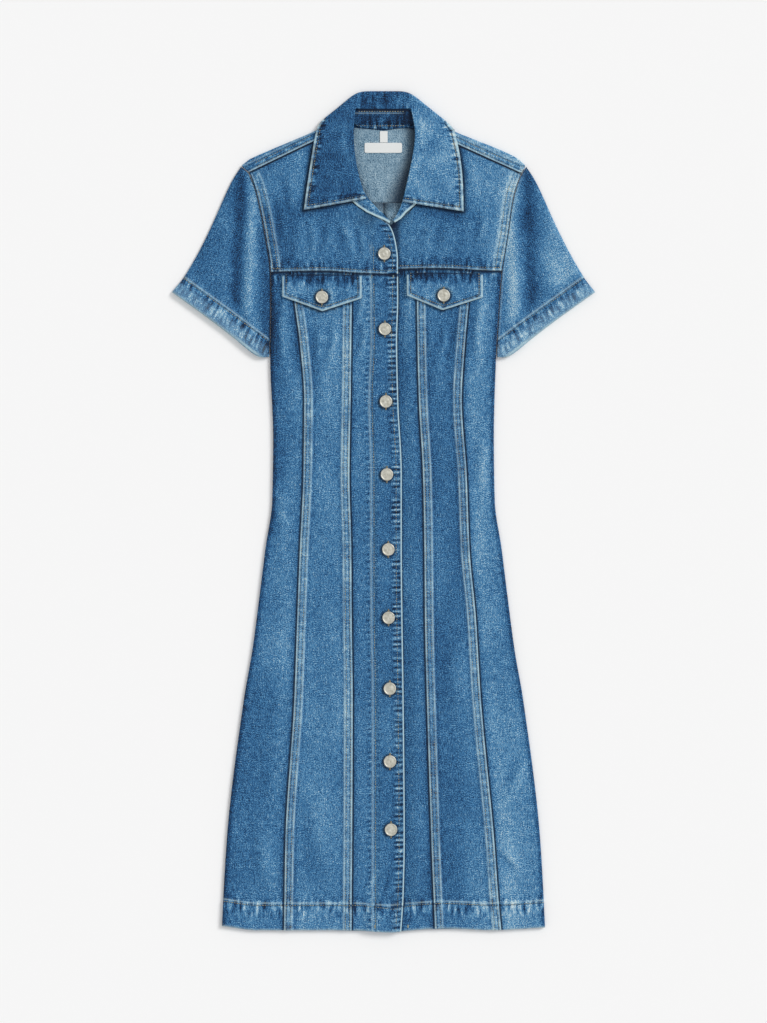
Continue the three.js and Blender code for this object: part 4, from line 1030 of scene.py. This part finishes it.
# Turning of the neck seam: the yoke's raw edge, seen only as a dark line under the stand, painted dark for
# the stand's shade on it.
def turning_place(column, row):
    x = mix(-47, 47, column / 40)
    y = 515 + 0.0036 * x * x + row * 3.2
    return Spot(x, y, 0.95, 0.8, -0.2, -0.45, 0.2, 0.2)


piece, area = cloth_from_grid("denim_neck_turning", 40, 5, turning_place, dark_denim, dark_denim)
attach(piece, "root")

# Topstitching: spun polyester, tan and grey-blue, about 3 mm to a stitch. Each stitch is one
# small thread lying in the cloth.
thread = surface("spun topstitching thread", 0.7, ((0.4, "#6b858d"), (0.62, "#b9b188")),
                 "ShaderNodeTexNoise", {"Scale": 1 / (9 * MM), "Detail": 2})

STITCH = 2.6
STITCH_PITCH = 3.5
stitch_shape = bmesh.new()
bmesh.ops.create_icosphere(stitch_shape, subdivisions=1, radius=1)
bmesh.ops.scale(stitch_shape, verts=stitch_shape.verts, vec=(STITCH / 2 * MM, 0.42 * MM, 0.34 * MM))
one_stitch = bpy.data.meshes.new("one_stitch")
stitch_shape.to_mesh(one_stitch)
stitch_shape.free()


def top_of(name):
    """Reads the height of a finished piece's upper face at a point."""
    piece = MADE[name]

    def height(x, y):
        start = Vector((x * MM, y * MM, 0.1))
        found, place, _, _ = piece.ray_cast(start, Vector((0, 0, -1)))
        return place.z / MM if found else None

    return height


def stitch_row(bm, points, height):
    """Lays stitches end to end along a line of points."""
    left_over = 0
    for (x1, y1), (x2, y2) in zip(points, points[1:]):
        length = math.hypot(x2 - x1, y2 - y1)
        turn = Matrix.Rotation(math.atan2(y2 - y1, x2 - x1), 4, "Z")
        at = left_over
        while at < length:
            x, y = mix(x1, x2, at / length), mix(y1, y2, at / length)
            z = height(x, y)
            if z is not None:
                place = Matrix.Translation(Vector((x, y, z + 0.1)) * MM) @ turn
                one_stitch.transform(place)
                bm.from_mesh(one_stitch)
                one_stitch.transform(place.inverted())
            at += STITCH_PITCH
        left_over = at - length


def thread_piece(name, *lines):
    """One piece of stitching. Each line names the denim piece under it, and gives its points."""
    rows = bmesh.new()
    for under, points in lines:
        stitch_row(rows, points, top_of(f"denim_{under}"))
    piece = object_from(name, rows, thread)
    piece.data.shade_smooth()
    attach(piece, "root")


bpy.context.view_layer.update()
levels = steps(hem_at(0) + 4, CHEST - 3, 12) + [CHEST - 3]
for side, start_seam, end_seam in (("left", outer_left, inner_left), ("right", inner_right, outer_right)):
    thread_piece(f"stitching_front_middle_{side}", *[
        (f"front_middle_{side}", [(seam(y) + way * inset, y) for y in levels])
        for inset in BAND_STITCHES for seam, way in ((start_seam, 1), (end_seam, -1))])

levels = steps(HEM + 5, CHEST - 3, 12)
thread_piece("stitching_placket",
             ("front_centre_left", [(placket(y) - 7.6, y) for y in levels]),
             ("front_centre_left", [(placket_stitch(y), y) for y in levels]))

# The hem's stitching: panel, and where the row starts and ends on it
HEM_RUNS = (("front_side_left", -216, -136), ("front_middle_left", -134, -44),
            ("front_centre_left", -42, 26), ("front_centre_right", 29, 66),
            ("front_middle_right", 68, 155), ("front_side_right", 157, 217))
thread_piece("stitching_hem", *[
    (name, [(x, level_at(name.split("_")[-1], x, HEM + HEM_DEPTH - 2.5 * bell(x, 16, 18)))
            for x in steps(low, high, 8) + [high]]) for name, low, high in HEM_RUNS])

FLAP_STITCH = 5.4
for side, sign in SIDES:
    yoke = f"front_yoke_{side}"
    low, high = (-149, 17) if side == "left" else (23, 157)
    lines = [(yoke, [(x, chest_at[side](x) + 4.2) for x in steps(low, high, 8) + [high]])]
    for inset in (3.2, 9.6):
        lines.append((yoke, [(edge_at[side](y) - sign * inset, y) for y in steps(331, 452, 8)]))
    if side == "left":
        lines.append((yoke, [(inner_edge_at["left"](y) - 7.4, y) for y in steps(330, 384, 8)]))
        lines.append((yoke, [(placket_stitch(y), y) for y in steps(330, 368, 8)]))
    for inset in (2.8, 8.6):
        lines.append(("back_yoke", [(sign * x, forward_at[side](x) + inset) for x in steps(100, 183, 8)]))
    (x1, y1), (x3, y3) = CUFF_LINE[side][0], CUFF_LINE[side][2]
    away = Vector((y1 - y3, x3 - x1)).normalized() * CUFF_STITCH
    lines.append((f"sleeve_{side}", [(mix(x1, x3, k / 12) - sign * abs(away.x),
                                      mix(y1, y3, k / 12) + abs(away.y)) for k in range(13)]))
    (left, low_left), (point_x, point_y), (right, low_right) = FLAP_LINES[side][1:4]
    left, right, top_y = left + FLAP_STITCH, right - FLAP_STITCH, FLAPS[side][0] - 1
    lines.append((f"pocket_flap_{side}", [
        (left, top_y), (left, low_left + 3), (point_x, point_y + FLAP_STITCH + 0.6),
        (right, low_right + 3), (right, top_y)]))
    thread_piece(f"stitching_yoke_flap_sleeve_{side}", *lines)

COLLAR_STITCH = (
    ((-28, 428.6), (-102.5, 415.4), (-100.6, 428), (-96.3, 458), (-91.2, 490), (-86.4, 517)),
    ((30, 425), (66, 419), (103.4, 413.2), (103.2, 428), (102.2, 458), (97.8, 490), (91.6, 515)),
)
thread_piece("stitching_collar", *[("collar", line) for line in COLLAR_STITCH],
             ("collar_stand", [(x, 524 + 0.0006 * x * x) for x in steps(-36, 36, 6)]),
             ("collar_stand", [(x, 543.4) for x in steps(-33, 33, 6)]))

# Bartacks: short dense bars of the same thread, at both ends of the front edge's stitching
TACKS = (("front_centre_left", -14, 317), ("front_centre_left", 15, 317),
         ("front_centre_left", -10, -565), ("front_centre_right", 35, -565))
thread_piece("bartacks", *[(panel, [(x - 1.7, y + k * 0.7), (x + 1.7, y + k * 0.7)])
                           for panel, x, y in TACKS for k in range(6)])

# Buttons: cast zinc, plated pale and slightly matt, on a short shank through a worked
# buttonhole whose ends show above and below. Their faces have a low ring and a centre dot.
plated = surface("pale satin plated zinc", 0.42, ((0.3, "#b3b1a3"), (0.7, "#dad8cd")),
                 "ShaderNodeTexNoise", {"Scale": 1 / (3 * MM), "Detail": 3})
plated.node_tree.nodes["Principled BSDF"].inputs["Metallic"].default_value = 0.55

# Radius and height above the foot, from the shank to the middle of the face
BUTTON_PROFILE = ((0, 0), (2.4, 0), (2.4, 0.9), (7.6, 0.9), (8.3, 1.2), (8.5, 1.8), (8.2, 2.35), (7.7, 2.5),
                  (7.2, 2.4), (6.9, 2.15), (6.5, 2.12), (5.6, 2.2), (5.35, 2.12), (5.1, 2.22), (2.4, 2.42),
                  (1.1, 2.45), (0.8, 2.3), (0, 2.3))
button_shape = bmesh.new()
profile = [button_shape.verts.new((radius * MM, 0, rise * MM)) for radius, rise in BUTTON_PROFILE]
outline = [button_shape.edges.new(pair) for pair in zip(profile, profile[1:])]
bmesh.ops.spin(button_shape, geom=profile + outline, cent=(0, 0, 0), axis=(0, 0, 1), steps=40,
               angle=2 * math.pi, use_merge=True)
bmesh.ops.remove_doubles(button_shape, verts=button_shape.verts, dist=0.01 * MM)
bmesh.ops.recalc_face_normals(button_shape, faces=button_shape.faces)
button_mesh = bpy.data.meshes.new("button")
button_shape.to_mesh(button_mesh)
button_shape.free()
button_mesh.materials.append(plated)
button_mesh.shade_smooth()

# Twisted polyester, thicker than the topstitching
beige_thread = surface("beige buttonhole twist", 0.75, "#7c7662")

holes = bmesh.new()
for node in [f"button_{k}" for k in range(1, 10)] + ["flap_button_left", "flap_button_right"]:
    low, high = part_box(node)
    centre = (low + high) / 2
    mesh = button_mesh.copy()
    mesh.transform(Matrix.Translation((centre.x, centre.y, low.z)))
    piece = bpy.data.objects.new(f"plated_{node}", mesh)
    bpy.context.scene.collection.objects.link(piece)
    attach(piece, "root")
    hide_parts(node)
    for way in (-1, 1):
        spot = Matrix.Translation((centre.x, centre.y + way * 6.2 * MM, low.z + 0.1 * MM))
        spot @= Matrix.Diagonal((1.5 * MM, 6 * MM, 0.6 * MM, 1))
        bmesh.ops.create_uvsphere(holes, u_segments=10, v_segments=6, radius=1, matrix=spot)
piece = object_from("buttonholes", holes, beige_thread)
piece.data.shade_smooth()
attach(piece, "root")

# Neck label and hanger loop: plain woven polyester tape, off white, with rounded corners on
# the label.
tape = surface("plain woven tape", 0.7, ((0, "#cfd4d6"), (1, "#f0f1ee")), "ShaderNodeTexWave",
               {"Scale": 0.314 / (1.2 * MM), "Distortion": 0.8}, bands_direction="Y")
for node, corner, flat in (("neck_label", 2.2, (0.051, 0.0137)), ("hanger_loop", 0.4, (0.0105, 0.0155))):
    low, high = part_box(node)
    plate = bmesh.new()
    bmesh.ops.create_cube(plate, size=1)
    bmesh.ops.scale(plate, verts=plate.verts, vec=high - low)
    bmesh.ops.translate(plate, verts=plate.verts, vec=(low + high) / 2)
    upright = [e for e in plate.edges if abs(e.verts[0].co.z - e.verts[1].co.z) > 0.0003]
    bmesh.ops.bevel(plate, geom=upright, offset=corner * MM, affect="EDGES", segments=5, profile=0.5,
                    material=-1)
    rim = [e for e in plate.edges if e.calc_face_angle(0) > 1]
    bmesh.ops.bevel(plate, geom=rim, offset=0.15 * MM, affect="EDGES", segments=2, profile=0.5, material=-1)
    piece = object_from(f"tape_{node}", plate, tape)
    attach(piece, "root")
    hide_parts(node)

bpy.data.meshes.remove(one_stitch)
bpy.context.view_layer.update()
